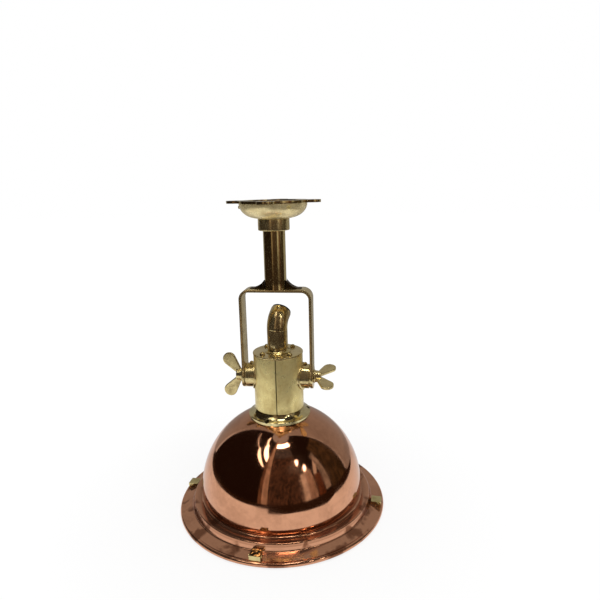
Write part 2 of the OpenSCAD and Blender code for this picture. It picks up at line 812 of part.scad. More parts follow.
// Steel wire inside the rolled edge
module rim_wire() {
    color("gray") translate([0, 0, foot_z + roll_r]) rotate_extrude()
        translate([roll_x, 0]) circle(r = rim_wire_r);
}

// Solid under the flange and step, that a lug's foot is cut to
module flange_solid() {
    rotate_extrude() translate([0, foot_z]) {
        polygon([[0, -1], [0, ledge_top], [step_r, ledge_top],
            [step_r + step_lean + fit, step_foot], [corner_x, flange_h + fit],
            [flange_x, flange_h - flange_drop + fit], [flange_x, -1]]);
        translate([roll_x, roll_r]) circle(r = roll_r + fit);
    }
}

// Four blocks on the flange, drilled crosswise
module guard_lugs() {
    color("darkkhaki") difference() {
        around(lug_count, lug_turn) difference() {
            translate([lug_in, -lug_w / 2, foot_z + roll_r]) cube([lug_l, lug_w, lug_top - roll_r]);
            translate([lug_pin_x, lug_w, foot_z + lug_pin_h]) rotate([90, 0, 0])
                cylinder(r = lug_pin_r + fit, h = 2 * lug_w);
            translate([lug_rivet_x, 0, foot_z]) cylinder(r = lug_rivet_r + fit, h = lug_top + 1);
        }
        flange_solid();
    }
}

// Cross pins of the lugs, each with a round head
module guard_pins() {
    head_t = 1.2;
    color("gold") around(lug_count, lug_turn)
        translate([lug_pin_x, 0, foot_z + lug_pin_h]) rotate([90, 0, 0]) {
        translate([0, 0, -lug_w / 2 - 0.8]) cylinder(r = lug_pin_r, h = lug_w + 0.8 + fit + eps);
        translate([0, 0, lug_w / 2 + fit]) cylinder(r = lug_pin_r + 0.6, h = head_t);
    }
}

// Rivets that hold the lugs, with a flat head below the flange
module lug_rivets() {
    head_t = 1;
    under = flange_h - shade_wall - (lug_rivet_x - corner_x) * flange_drop / (flange_x - corner_x);
    color("darkgoldenrod") around(lug_count, lug_turn) translate([lug_rivet_x, 0, foot_z]) {
        translate([0, 0, under - 1]) cylinder(r = lug_rivet_r, h = lug_top - under + 1);
        translate([0, 0, under - 1 - head_t]) cylinder(r = lug_rivet_r + 1, h = head_t);
    }
}

// Sheet bracket that hangs the lamp holder below the lid ring
module holder_bracket() {
    ear_z = sleeve_top - lid_ring_h - 2 * fit - bracket_t;
    color("silver") difference() {
        union() {
            translate([-bracket_x, -bracket_w / 2, bracket_z - bracket_t])
                cube([2 * bracket_x, bracket_w, bracket_t]);
            for (side = [0, 180]) rotate([0, 0, side]) {
                translate([bracket_x - bracket_t, -bracket_w / 2, bracket_z - bracket_t])
                    cube([bracket_t, bracket_w, ear_z - bracket_z + 2 * bracket_t]);
                translate([bracket_x - bracket_t, -bracket_w / 2, ear_z])
                    cube([bracket_out - bracket_x + bracket_t, bracket_w, bracket_t]);
            }
        }
        translate([0, 0, bracket_z - bracket_t - 1]) cylinder(r = 5, h = bracket_t + 2);
        for (side = [-1, 1]) {
            translate([side * bracket_screw_x, 0, ear_z - 1])
                cylinder(r = screw_r + fit, h = bracket_t + 2);
            translate([side * holder_screw_x, 0, bracket_z - bracket_t - 1])
                cylinder(r = screw_r + fit, h = bracket_t + 2);
        }
    }
}

// Screws that hold the bracket up to the lid ring
module bracket_screws() {
    seat = sleeve_top - lid_ring_h - 3 * fit - bracket_t;
    color("lightgray") for (side = [-1, 1]) translate([side * bracket_screw_x, 0, seat]) mirror([0, 0, 1])
        dome_screw(screw_r, 2.2, 1.4, bracket_t + 3);
}

// Porcelain body of the lamp holder, open below
module lamp_holder() {
    shoulder = 9;
    crown = holder_r - 3;
    color("ivory") difference() {
        rotate_extrude() polygon([[0, holder_top], [crown, holder_top],
            [crown, holder_top - shoulder], [holder_r, holder_top - shoulder - 2],
            [holder_r, holder_z + 2], [holder_r - 1.4, holder_z], [0, holder_z]]);
        translate([0, 0, holder_z - 1])
            cylinder(r = socket_r + socket_wall + fit, h = socket_h + 1 + fit);
        translate([0, 0, socket_top - 1]) cylinder(r = 8, h = 5);
        for (side = [-1, 1]) {
            translate([side * holder_screw_x, 0, holder_top - 7]) cylinder(r = screw_r + fit, h = 8);
            translate([-4 - fit, side * terminal_y - 3 - fit, holder_top - 6])
                cube([8 + 2 * fit, 6 + 2 * fit, 7]);
        }
    }
}

// Screws that hold the porcelain to the bracket
module holder_screws() {
    color("lightgray") for (side = [-1, 1]) translate([side * holder_screw_x, 0, bracket_z + fit])
        dome_screw(screw_r, 2.6, 1.6, bracket_t + 6);
}

// Screwed shell of the socket
module socket_shell() {
    color("goldenrod") translate([0, 0, holder_z + 1])
        ring(socket_r + socket_wall, socket_r, socket_h - 1);
}

// Sprung tongue at the back of the socket
module centre_contact() {
    color("darkorange") {
        translate([-6, -2.5, socket_top + 3.4]) cube([12, 5, 0.5]);
        translate([-2.5, -2.5, contact_z]) cube([5, 5, socket_top + 3.4 - contact_z + eps]);
    }
}

// Two brass terminal blocks in the top of the porcelain
module terminals() {
    color("gold") for (side = [-1, 1]) difference() {
        translate([-4, side * terminal_y - 3, holder_top - 6 + fit]) cube([8, 6, 5.4]);
        translate([0, side * terminal_y, holder_top - 3]) cylinder(r = screw_r + fit / 2, h = 6);
        translate([-2.4, side * terminal_y - 4, holder_top - 3.4]) rotate([-90, 0, 0])
            cylinder(r = 1, h = 8);
    }
}

// Clamp screws of the terminals
module terminal_screws() {
    color("lightgray") for (side = [-1, 1]) translate([0, side * terminal_y, holder_top - 0.5])
        dome_screw(screw_r, 2, 1.2, 2.2);
}

// Screw cap of the bulb, seated in the socket
module bulb_cap() {
    tip_z = contact_z - cap_gap;
    color("silver") {
        translate([0, 0, holder_z - 2]) cylinder(r = cap_r, h = socket_h - 3);
        translate([0, 0, holder_z + socket_h - 5 - eps]) cylinder(r1 = cap_r, r2 = 5, h = 2.2);
        translate([0, 0, holder_z + socket_h - 3]) cylinder(r = 4.2, h = tip_z - holder_z - socket_h + 3);
    }
}

// Outline of the glass from globe to neck: the globe's arc, then a smooth run into the neck
function glass_neck(steps) =
    let (z0 = globe_r * sin(neck_turn), r0 = globe_r * cos(neck_turn), z1 = globe_drop - 2)
    [for (i = [0 : steps]) let (t = i / steps, s = 3 * t * t - 2 * t * t * t)
        [r0 + (neck_r - r0) * (1.35 * t * (1 - t) * (1 - t) + s), z0 + (z1 - z0) * t]];

// Opal glass of the bulb
module bulb_glass() {
    globe_z = holder_z - globe_drop;
    color("white") translate([0, 0, globe_z]) rotate_extrude() union() {
        intersection() {
            circle(r = globe_r);
            translate([0, -globe_r]) square([globe_r, globe_r * (1 + sin(neck_turn))]);
        }
        polygon(concat([[0, 0]], glass_neck(16), [[0, globe_drop - 2]]));
    }
}

ceiling_plate();
canopy_bowl();
canopy_screws();
stem_collar();
stem_tube();
stem_nut();
stem_washer();
stem_webs();
yoke();
cap_sleeve();
cap_lid();
lid_ring();
lid_screws();
cap_skirt();
skirt_screws();
crown_ring();
inlet_ferrule();
inlet_tube();
inlet_elbow();
inlet_bush();
tilt_bosses();
lock_screws();
tilt_washers();
left_wing_bolt();
right_wing_bolt();
shade();
rim_wire();
guard_lugs();
guard_pins();
lug_rivets();
holder_bracket();
bracket_screws();
lamp_holder();
holder_screws();
socket_shell();
centre_contact();
terminals();
terminal_screws();
bulb_cap();
bulb_glass();
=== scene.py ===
"""Dresses a cargo pendant lantern: copper shade, brass cap, yoke, stem and ceiling dish.

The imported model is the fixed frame. Every piece made here sits where the node that it stands
for sits, in metres, with height 0 on the ceiling plate's top face. Sizes in the classes below
are in millimetres, and heights are read from the frame.
"""

import json
import logging
import math
from collections.abc import Callable, Iterator, Sequence
from contextlib import contextmanager
from dataclasses import dataclass, field
from enum import Enum

import bmesh
import bpy
from mathutils import Matrix, Vector


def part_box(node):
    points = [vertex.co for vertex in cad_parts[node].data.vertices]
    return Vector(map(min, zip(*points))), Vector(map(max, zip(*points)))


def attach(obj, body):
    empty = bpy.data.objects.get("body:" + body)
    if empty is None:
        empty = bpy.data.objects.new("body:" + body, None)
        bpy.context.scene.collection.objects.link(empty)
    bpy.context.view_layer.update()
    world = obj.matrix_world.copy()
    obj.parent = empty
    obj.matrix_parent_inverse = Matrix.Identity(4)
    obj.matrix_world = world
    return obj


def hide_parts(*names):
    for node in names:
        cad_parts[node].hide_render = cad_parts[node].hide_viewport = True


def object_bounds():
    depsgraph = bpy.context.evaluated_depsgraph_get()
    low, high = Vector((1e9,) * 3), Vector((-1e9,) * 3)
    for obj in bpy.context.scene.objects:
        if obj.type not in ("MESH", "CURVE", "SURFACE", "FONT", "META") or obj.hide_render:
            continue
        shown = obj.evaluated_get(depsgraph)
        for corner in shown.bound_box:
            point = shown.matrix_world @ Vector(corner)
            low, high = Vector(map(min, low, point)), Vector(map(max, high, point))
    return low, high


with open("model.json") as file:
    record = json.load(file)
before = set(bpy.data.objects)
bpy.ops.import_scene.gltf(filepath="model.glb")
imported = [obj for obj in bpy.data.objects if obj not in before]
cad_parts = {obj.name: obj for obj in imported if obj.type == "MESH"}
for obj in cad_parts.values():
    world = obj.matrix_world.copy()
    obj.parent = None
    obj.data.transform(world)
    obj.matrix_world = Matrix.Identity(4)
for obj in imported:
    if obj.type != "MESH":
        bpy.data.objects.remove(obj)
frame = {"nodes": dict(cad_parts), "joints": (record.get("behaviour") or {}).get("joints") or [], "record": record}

log = logging.getLogger("lantern")

MM = 0.001
CAD_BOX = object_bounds()
BODY_OF = {node: body for body, nodes in frame["record"]["behaviour"]["bodies"].items()
           for node in nodes}
SLOT_OF = {part["node"]: part["material_slot"] for part in frame["record"]["subparts"]}

Point = tuple[float, float]
Place = tuple[float, float, float]
Colour = tuple[float, float, float]

WHITE = (1.0, 1.0, 1.0, 1.0)
LEVEL = (1.0, 1.0, 0.0)
LAMP_WHITE: Colour = (255, 250, 240)
CARD_GREY: Colour = (206, 196, 184)


class Grain(Enum):
    """How the last tool ran over a metal face."""

    TURNED = "rings round the lamp's axis"
    DRAWN = "lines along the lamp's axis"
    CAST = "the same in every direction"


def span(node: str) -> Point:
    """Reads the lowest and the highest height of a CAD node, in millimetres."""
    low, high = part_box(node)
    return low.z / MM, high.z / MM


def linear(colour: Colour, alpha: float = 1.0) -> tuple[float, float, float, float]:
    """Turns a screen colour of 0 to 255 into a shader colour.

    Args:
        colour: Red, green and blue as on a screen.
        alpha: Fourth value of the result.

    Returns:
        The linear colour with its alpha.
    """
    red, green, blue = ((value / 255 / 12.92) if value <= 10 else
                        ((value / 255 + 0.055) / 1.055) ** 2.4 for value in colour)
    return red, green, blue, alpha


# Node trees


def math_method(operation: str, swapped: bool = False) -> Callable[..., "Wire"]:
    """Makes a method of Wire that adds one Math node.

    Args:
        operation: The node's operation.
        swapped: Whether the other value comes first.

    Returns:
        The method, which takes the other value if there is one.
    """
    def method(self: "Wire", other: "Wire | float" = 0.0) -> "Wire":
        """Adds the node."""
        first, second = (other, self) if swapped else (self, other)
        return self.bench.node("ShaderNodeMath", {"operation": operation}, {0: first, 1: second})
    return method


class Wire:
    """An output socket that can be used in Python sums."""

    def __init__(self, bench: "Bench", socket: bpy.types.NodeSocket) -> None:
        """Wraps a socket of the bench's tree."""
        self.bench = bench
        self.socket = socket

    __add__ = math_method("ADD")
    __radd__ = math_method("ADD", True)
    __sub__ = math_method("SUBTRACT")
    __rsub__ = math_method("SUBTRACT", True)
    __mul__ = math_method("MULTIPLY")
    __rmul__ = math_method("MULTIPLY", True)
    __truediv__ = math_method("DIVIDE")
    __rtruediv__ = math_method("DIVIDE", True)
    floor = math_method("FLOOR")
    modulo = math_method("MODULO")
    most = math_method("MAXIMUM")
    size = math_method("ABSOLUTE")
    cosine = math_method("COSINE")
    sine = math_method("SINE")

    def axis(self, number: int) -> "Wire":
        """Gives one of a vector's three values."""
        return self.bench.node("ShaderNodeSeparateXYZ", None, {0: self}, number)

    def length(self) -> "Wire":
        """Gives a vector's length."""
        return self.bench.node("ShaderNodeVectorMath", {"operation": "LENGTH"}, {0: self}, 1)

    def ramp(self, low: float, high: float, smooth: bool = True) -> "Wire":
        """Runs from 0 to 1 while self runs from low to high.

        Args:
            low: Value that gives 0.
            high: Value that gives 1.
            smooth: Whether the run is eased at both ends.

        Returns:
            The eased and clamped value.
        """
        kind = "SMOOTHSTEP" if smooth else "LINEAR"
        return self.bench.node("ShaderNodeMapRange", {"interpolation_type": kind},
                               {"Value": self, "From Min": low, "From Max": high})


class Bench:
    """Adds nodes to one tree and wires them."""

    def __init__(self, tree: bpy.types.NodeTree) -> None:
        """Takes the tree that the nodes go in."""
        self.tree = tree

    def node(self, kind: str, settings: dict | None = None, inputs: dict | None = None,
             output: int | str = 0) -> Wire:
        """Adds a node.

        Args:
            kind: Type name of the node.
            settings: The node's own settings, such as an operation.
            inputs: Values or wires by socket name or number.
            output: The socket that the result wraps.

        Returns:
            The chosen output as a wire.
        """
        made = self.tree.nodes.new(kind)
        for name, value in (settings or {}).items():
            setattr(made, name, value)
        self.wire_up(made, inputs or {})
        return Wire(self, made.outputs[output])

    def wire_up(self, node: bpy.types.Node, inputs: dict) -> None:
        """Gives a node's sockets their wires or values."""
        for name, value in inputs.items():
            if isinstance(value, Wire):
                self.tree.links.new(value.socket, node.inputs[name])
            else:
                node.inputs[name].default_value = value

    def place(self) -> Wire:
        """Gives the coordinates on the piece, in metres."""
        return self.node("ShaderNodeTexCoord", None, None, "Object")

    def blend(self, factor: Wire, first: Wire | tuple, second: Wire | tuple) -> Wire:
        """Mixes two colours, the second as far as the factor goes from 0 to 1."""
        return self.node("ShaderNodeMix", {"data_type": "RGBA"}, {0: factor, 6: first, 7: second}, 2)

    def vector(self, operation: str, first: Wire, second: Wire | tuple) -> Wire:
        """Adds one Vector Math node with a vector result."""
        return self.node("ShaderNodeVectorMath", {"operation": operation}, {0: first, 1: second})

    def joined(self, parts: dict[int, Wire]) -> Wire:
        """Joins values into a vector, 0 where none is given."""
        return self.node("ShaderNodeCombineXYZ", None, parts)

    def noise(self, place: Wire, size: float, detail: float = 4.0, rough: float = 0.55,
              warp: float = 0.0) -> Wire:
        """Adds a noise.

        Args:
            place: Coordinates in metres.
            size: Size of its blotches in millimetres.
            detail: Number of finer layers.
            rough: Weight of the finer layers.
            warp: Bending of the pattern by itself.

        Returns:
            A value round 0.5.
        """
        return self.node("ShaderNodeTexNoise", None, {
            "Vector": place, "Scale": 1 / (size * MM), "Detail": detail, "Roughness": rough,
            "Distortion": warp})

    def bump(self, relief: Wire) -> Wire:
        """Turns a height in metres into a surface direction."""
        return self.node("ShaderNodeBump", None, {"Strength": 1.0, "Distance": 1.0,
                                                  "Height": relief})


def new_material(name: str, bare: bool = False) -> tuple[bpy.types.Material, Bench,
                                                         bpy.types.Node]:
    """Starts a material.

    Args:
        name: Its name.
        bare: Whether it has an output alone and no main shader.

    Returns:
        The material, a bench on its tree, and its main shader or else its output.
    """
    material = bpy.data.materials.new(name)
    material.use_nodes = True
    tree = material.node_tree
    shader = tree.nodes["Principled BSDF"]
    if bare:
        tree.nodes.remove(shader)
        shader = tree.nodes["Material Output"]
    return material, Bench(tree), shader


# Finishes


@dataclass(frozen=True)
class MetalFinish:
    """Bare metal with tarnish clouds, tool grain and fine dents."""

    name: str
    bright: Colour
    tarnish: Colour
    tarnish_share: float = 0.3
    tarnish_ramp: Point = (0.42, 0.68)
    tarnish_roughness: float = 0.18
    cloud_size: float = 22.0
    speck_size: float = 0.12
    speck_share: float = 0.25
    roughness: float = 0.12
    roughness_spread: float = 0.08
    grain: Grain = Grain.TURNED
    grain_size: float = 0.6
    grain_depth: float = 0.004
    grain_tone: float = 0.12
    grain_dark: float = 0.72
    grain_stretch: float = 0.03
    grain_drift: float = 0.04
    dent_size: float = 9.0
    dent_depth: float = 0.02
    metallic: float = 1.0
    metallic_spread: float = 0.02

    def grain_wire(self, bench: Bench, place: Wire) -> Wire:
        """Adds the tool marks.

        Args:
            bench: Bench of the material's tree.
            place: Coordinates on the piece.

        Returns:
            A fine value round 0.5.
        """
        if self.grain is Grain.CAST:
            return bench.noise(place, self.grain_size, 3.0, 0.6)
        if self.grain is Grain.DRAWN:
            drawn = bench.vector("MULTIPLY", place, (1.0, 1.0, self.grain_stretch))
            return bench.noise(drawn, self.grain_size, 4.0, 0.6)
        radius = bench.vector("MULTIPLY", place, LEVEL).length()
        turned = bench.joined({0: radius, 1: place.axis(2)})
        along = bench.vector("MULTIPLY", place, (self.grain_drift,) * 3)
        return bench.noise(bench.vector("ADD", turned, along), self.grain_size, 4.0, 0.6)

    def tarnish_wire(self, bench: Bench, place: Wire, clouds: Wire) -> Wire:
        """Adds the share of tarnish over the surface.

        Args:
            bench: Bench of the material's tree.
            place: Coordinates on the piece.
            clouds: The piece's large noise.

        Returns:
            0 where the metal is bright, up to 1 where it is dull.
        """
        specks = bench.noise(place, self.cloud_size * self.speck_size, 3.0, 0.6)
        mix = clouds * (1 - self.speck_share) + specks * self.speck_share
        return mix.ramp(*self.tarnish_ramp) * self.tarnish_share

    def metal_wire(self, bench: Bench, place: Wire) -> Wire:
        """How much of the surface mirrors as bare metal, a little less in its clouds."""
        spread = self.metallic_spread
        return bench.noise(place, self.cloud_size, 2.0) * spread + (self.metallic - spread)

    def build(self) -> bpy.types.Material:
        """Makes the material.

        Returns:
            The finished material.
        """
        material, bench, shader = new_material(self.name)
        place = bench.place()
        clouds = bench.noise(place, self.cloud_size, 5.0, 0.55, 0.4)
        grain = self.grain_wire(bench, place)
        dull = self.tarnish_wire(bench, place, clouds)
        dark = tuple(value * self.grain_dark for value in self.bright)
        bright = bench.blend((grain - 0.5) * self.grain_tone * 2 + 0.5 * self.grain_tone,
                             linear(self.bright), linear(dark))
        rough = (clouds - 0.5) * self.roughness_spread * 2 + (grain - 0.5) * \
            self.roughness_spread + dull * self.tarnish_roughness + self.roughness
        dents = bench.noise(place, self.dent_size, 2.0, 0.4)
        relief = dents * (self.dent_depth * MM) + grain * (self.grain_depth * MM)
        bench.wire_up(shader, {
            "Base Color": bench.blend(dull, bright, linear(self.tarnish)),
            "Roughness": rough.ramp(0.0, 1.0, False), "Metallic": self.metal_wire(bench, place),
            "Normal": bench.bump(relief)})
        return material


@dataclass(frozen=True)
class SpunCopper(MetalFinish):
    """Polished copper, duller in the hollows of its steps."""

    foot: float = 0.0
    crease_heights: tuple[float, ...] = (9.5, 13.6, 15.2, 18.0)
    crease_reach: float = 1.6
    crease_share: float = 0.45
    stain_size: float = 24.0
    stain_ramp: Point = (0.53, 0.64)
    stain_share: float = 0.75
    rim_top: float = 17.0
    rim_blend: float = 2.0
    rim_share: float = 0.08
    rim_metal: float = 0.93

    def tarnish_wire(self, bench: Bench, place: Wire, clouds: Wire) -> Wire:
        """Adds tarnish in the creases to the clouds.

        Args:
            bench: Bench of the material's tree.
            place: Coordinates on the piece.
            clouds: The piece's large noise.

        Returns:
            0 where the copper is bright, up to 1 where it is dull.
        """
        share = MetalFinish.tarnish_wire(self, bench, place, clouds)
        height = place.axis(2)
        for crease in self.crease_heights:
            gap = (height - (self.foot + crease) * MM).size()
            near = 1.0 - gap.ramp(0.0, self.crease_reach * MM)
            share = share.most(near * self.crease_share)
        stains = bench.noise(place, self.stain_size, 3.0, 0.5, 0.3).ramp(*self.stain_ramp)
        return share.most(self.rim_wire(place) * (stains * self.stain_share + self.rim_share))

    def rim_wire(self, place: Wire) -> Wire:
        """1 on the steps and the flange, 0 on the dome."""
        top = self.foot + self.rim_top
        return 1.0 - place.axis(2).ramp(top * MM, (top + self.rim_blend) * MM)

    def metal_wire(self, bench: Bench, place: Wire) -> Wire:
        """How much of the surface mirrors: less on the rim than on the dome."""
        return 1.0 - self.rim_wire(place) * (1.0 - self.rim_metal)


@dataclass(frozen=True)
class PlainFinish:
    """Rubber, porcelain and other finishes without tool marks."""

    name: str
    colour: Colour
    shade: Colour
    roughness: float = 0.4
    roughness_spread: float = 0.1
    cloud_size: float = 8.0
    relief: float = 0.02
    coat: float = 0.0

    def build(self) -> bpy.types.Material:
        """Makes the material.

        Returns:
            The finished material.
        """
        material, bench, shader = new_material(self.name)
        place = bench.place()
        clouds = bench.noise(place, self.cloud_size, 5.0)
        fine = bench.noise(place, self.cloud_size * 0.08, 2.0)
        mottle = (clouds * 0.7 + fine * 0.3).ramp(0.35, 0.7)
        bench.wire_up(shader, {
            "Base Color": bench.blend(mottle, linear(self.colour), linear(self.shade)),
            "Roughness": clouds * self.roughness_spread + self.roughness,
            "Coat Weight": self.coat, "Normal": bench.bump(fine * (self.relief * MM))})
        return material


@dataclass(frozen=True)
class OpalGlass:
    """Frosted white glass that lets light through."""

    name: str
    colour: Colour = (240, 238, 230)
    shade: Colour = (228, 226, 218)
    cloud_size: float = 14.0
    roughness: float = 0.22
    roughness_spread: float = 0.08
    scatter_weight: float = 0.4
    scatter_depth: float = 10.0
    coat: float = 0.3

    def build(self) -> bpy.types.Material:
        """Makes the material.

        Returns:
            The finished material.
        """
        material, bench, shader = new_material(self.name)
        clouds = bench.noise(bench.place(), self.cloud_size, 3.0)
        bench.wire_up(shader, {
            "Base Color": bench.blend(clouds, linear(self.colour), linear(self.shade)),
            "Subsurface Weight": self.scatter_weight,
            "Subsurface Radius": (self.scatter_depth * MM,) * 3, "Coat Weight": self.coat,
            "Roughness": clouds * self.roughness_spread + self.roughness})
        return material


class Finishes:
    """One material for each material slot of the record, and some nodes' own ones."""

    # The skirt's screws take the very dark brass as painted shade of the hollows they sit in.
    own: dict[str, str] = {
        "yoke": "satin_brass", "left_wing_bolt": "satin_brass", "right_wing_bolt": "satin_brass",
        "tilt_bosses": "satin_brass", "tilt_washers": "satin_brass", "cap_lid": "satin_brass",
        "stem_collar": "satin_brass", "canopy_bowl": "dish_brass", "inlet_elbow": "inlet_brass",
        "inlet_tube": "inlet_brass", "skirt_screws": "dark_brass"}

    def __init__(self) -> None:
        """Makes every material once."""
        self._made = {slot: finish.build() for slot, finish in self._list().items()}

    @staticmethod
    def _list() -> dict[str, MetalFinish | PlainFinish | OpalGlass]:
        """Names the finish of each slot, and the nodes' own ones."""
        return {
            "copper": SpunCopper(
                "spun_copper", (224, 164, 128), (122, 74, 48), cloud_size=40, roughness=0.08,
                roughness_spread=0.06, grain_size=0.9, grain_depth=0.0012, grain_tone=0.06,
                dent_size=26, dent_depth=0.012, foot=span("shade")[0]),
            "polished_brass": MetalFinish(
                "polished_brass", (232, 216, 162), (170, 146, 86), 0.4, cloud_size=12,
                roughness_spread=0.1, grain=Grain.CAST, grain_size=0.7, dent_size=5),
            "pale_brass": MetalFinish(
                "satin_pale_brass", (252, 232, 160), (196, 166, 98), 0.5, cloud_size=12,
                roughness=0.3, roughness_spread=0.12, grain=Grain.DRAWN, grain_size=0.5,
                grain_depth=0.008, grain_tone=0.25, metallic=0.7),
            "aged_brass": MetalFinish(
                "aged_brass", (230, 212, 152), (176, 148, 90), 0.5, cloud_size=14,
                roughness=0.11, roughness_spread=0.06, grain=Grain.DRAWN, grain_size=0.8,
                grain_tone=0.3),
            # Very dark brass: the webs' own tone, and also the painted shade on the sleeve's seam walls, the
            # skirt's screw hollows and the skirt's screws.
            "dark_brass": MetalFinish(
                "dark_brass_and_painted_shade", (84, 70, 44), (24, 18, 12), 0.9, cloud_size=4, roughness=0.38,
                roughness_spread=0.2, grain=Grain.CAST, grain_size=0.8, grain_depth=0.05,
                dent_size=2.4, dent_depth=0.2),
            "satin_brass": MetalFinish(
                "satin_brass", (232, 212, 154), (160, 136, 88), 0.45, cloud_size=9,
                roughness=0.2, roughness_spread=0.12, grain=Grain.CAST, grain_depth=0.008,
                dent_size=6, dent_depth=0.03, metallic=0.94),
            "dish_brass": MetalFinish(
                "buffed_dish_brass", (250, 230, 174), (184, 158, 98), 0.35, cloud_size=12,
                roughness=0.26, roughness_spread=0.1, grain_size=0.7, grain_depth=0.003,
                dent_size=6, metallic=0.6),
            "inlet_brass": MetalFinish(
                "dull_inlet_brass", (230, 208, 150), (120, 84, 50), 0.8, cloud_size=9,
                grain=Grain.CAST, grain_size=0.8, dent_size=5, dent_depth=0.06, metallic=0.94),
            "steel": MetalFinish("plated_steel", (186, 188, 186), (120, 122, 118), 0.4,
                                 cloud_size=8, roughness=0.28, grain=Grain.CAST),
            "shell_brass": MetalFinish("stamped_brass", (220, 192, 118), (150, 118, 60),
                                       cloud_size=6, roughness=0.2),
            "nickel": MetalFinish("plated_cap", (204, 202, 196), (150, 146, 138), 0.25,
                                  cloud_size=7, roughness=0.18),
            "bush_rubber": PlainFinish("bush_rubber", (36, 35, 34), (22, 21, 20), 0.62),
            "porcelain": PlainFinish("glazed_porcelain", (238, 234, 222), (224, 218, 202), 0.16,
                                     coat=0.6, cloud_size=16, relief=0.01),
            "opal_glass": OpalGlass("frosted_opal_glass"),
        }

    def of(self, node: str) -> bpy.types.Material:
        """Gives the material of a node: its own one, or its slot's."""
        return self._made[self.own.get(node, SLOT_OF[node])]


# Geometry node trees


class GeometryTree:
    """A geometry node tree with one geometry going in and one coming out."""

    def __init__(self, name: str, sizes: dict[str, str]) -> None:
        """Makes the tree and its inputs.

        Args:
            name: Name of the tree.
            sizes: Socket type by input name.
        """
        self.tree = bpy.data.node_groups.new(name, "GeometryNodeTree")
        face = self.tree.interface
        face.new_socket(name="Geometry", in_out="INPUT", socket_type="NodeSocketGeometry")
        self.keys = {size: face.new_socket(name=size, in_out="INPUT",
                                           socket_type="NodeSocket" + kind).identifier
                     for size, kind in {**sizes, "Material": "Material"}.items()}
        face.new_socket(name="Geometry", in_out="OUTPUT", socket_type="NodeSocketGeometry")
        self.bench = Bench(self.tree)
        self._given = self.tree.nodes.new("NodeGroupInput")

    def given(self, name: str) -> Wire:
        """Gives one of the tree's own inputs."""
        return Wire(self.bench, self._given.outputs[name])

    def close(self, geometry: Wire) -> None:
        """Ends the tree in plain faces with their material."""
        solid = self.bench.node("GeometryNodeRealizeInstances", None, {0: geometry})
        dressed = self.bench.node("GeometryNodeSetMaterial", None, {
            "Geometry": solid, "Material": self.given("Material")})
        self.bench.wire_up(self.tree.nodes.new("NodeGroupOutput"), {0: dressed})

    def apply(self, mesh: bpy.types.Mesh, name: str, values: dict) -> bpy.types.Object:
        """Runs the tree on a mesh and keeps the result as a plain mesh.

        Args:
            mesh: What goes into the tree.
            name: Name of the new piece.
            values: Value by input name.

        Returns:
            The new piece.
        """
        holder = placed(name + "_start", mesh)
        modifier = holder.modifiers.new("tree", "NODES")
        modifier.node_group = self.tree
        for size, value in values.items():
            modifier[self.keys[size]] = value
        return evaluated_piece(holder, name)


def placed(name: str, data: bpy.types.ID) -> bpy.types.Object:
    """Puts a new object with the given mesh, lamp or camera in the scene."""
    thing = bpy.data.objects.new(name, data)
    bpy.context.scene.collection.objects.link(thing)
    return thing


def evaluated_piece(holder: bpy.types.Object, name: str) -> bpy.types.Object:
    """Turns an object with modifiers into a plain piece and removes the object.

    Args:
        holder: Object whose modifiers are still live.
        name: Name of the new piece.

    Returns:
        The plain piece, linked to the scene.
    """
    bpy.context.view_layer.update()
    graph = bpy.context.evaluated_depsgraph_get()
    mesh = bpy.data.meshes.new_from_object(holder.evaluated_get(graph), depsgraph=graph)
    bpy.data.objects.remove(holder)
    mesh.name = name
    return placed(name, mesh)


class SpinTree(GeometryTree):
    """Turns a closed section round the lamp's axis, with an optional slight unevenness."""

    weld_gap: float = 0.002

    def __init__(self) -> None:
        """Builds the tree."""
        super().__init__("spin_section", {"Steps": "Int", "Unevenness": "Float",
                                          "Patch Size": "Float"})
        bench = self.bench
        steps = self.given("Steps")
        count = bench.node("GeometryNodeAttributeDomainSize", None,
                           {"Geometry": self.given("Geometry")}, "Point Count")
        grid = bench.node("GeometryNodeMeshGrid", None, {
            "Size X": steps, "Size Y": count, "Vertices X": steps + 1.0,
            "Vertices Y": count + 1.0})
        place = bench.node("GeometryNodeInputPosition")
        turn = (place.axis(0) + steps * 0.5 + 0.5).floor().modulo(steps) / steps * math.tau
        row = (place.axis(1) + count * 0.5 + 0.5).floor().modulo(count)
        section = bench.node("GeometryNodeSampleIndex",
                             {"data_type": "FLOAT_VECTOR", "domain": "POINT"},
                             {"Geometry": self.given("Geometry"), "Value": place, "Index": row})
        turned = bench.node("ShaderNodeVectorRotate", {"rotation_type": "Z_AXIS"},
                            {"Vector": section, "Angle": turn})
        patch = bench.node("ShaderNodeTexNoise", None, {
            "Vector": turned, "Scale": 1.0 / self.given("Patch Size"), "Detail": 2.0})
        swell = (patch - 0.5) * self.given("Unevenness") * 2.0
        outward = bench.node("ShaderNodeVectorMath", {"operation": "NORMALIZE"}, {
            0: bench.vector("MULTIPLY", turned, LEVEL)})
        push = bench.node("ShaderNodeVectorMath", {"operation": "SCALE"},
                          {0: outward, "Scale": swell})
        shaped = bench.node("GeometryNodeSetPosition", None, {
            "Geometry": grid, "Position": bench.vector("ADD", turned, push)})
        self.close(bench.node("GeometryNodeMergeByDistance", None, {
            "Geometry": shaped, "Distance": self.weld_gap * MM}))


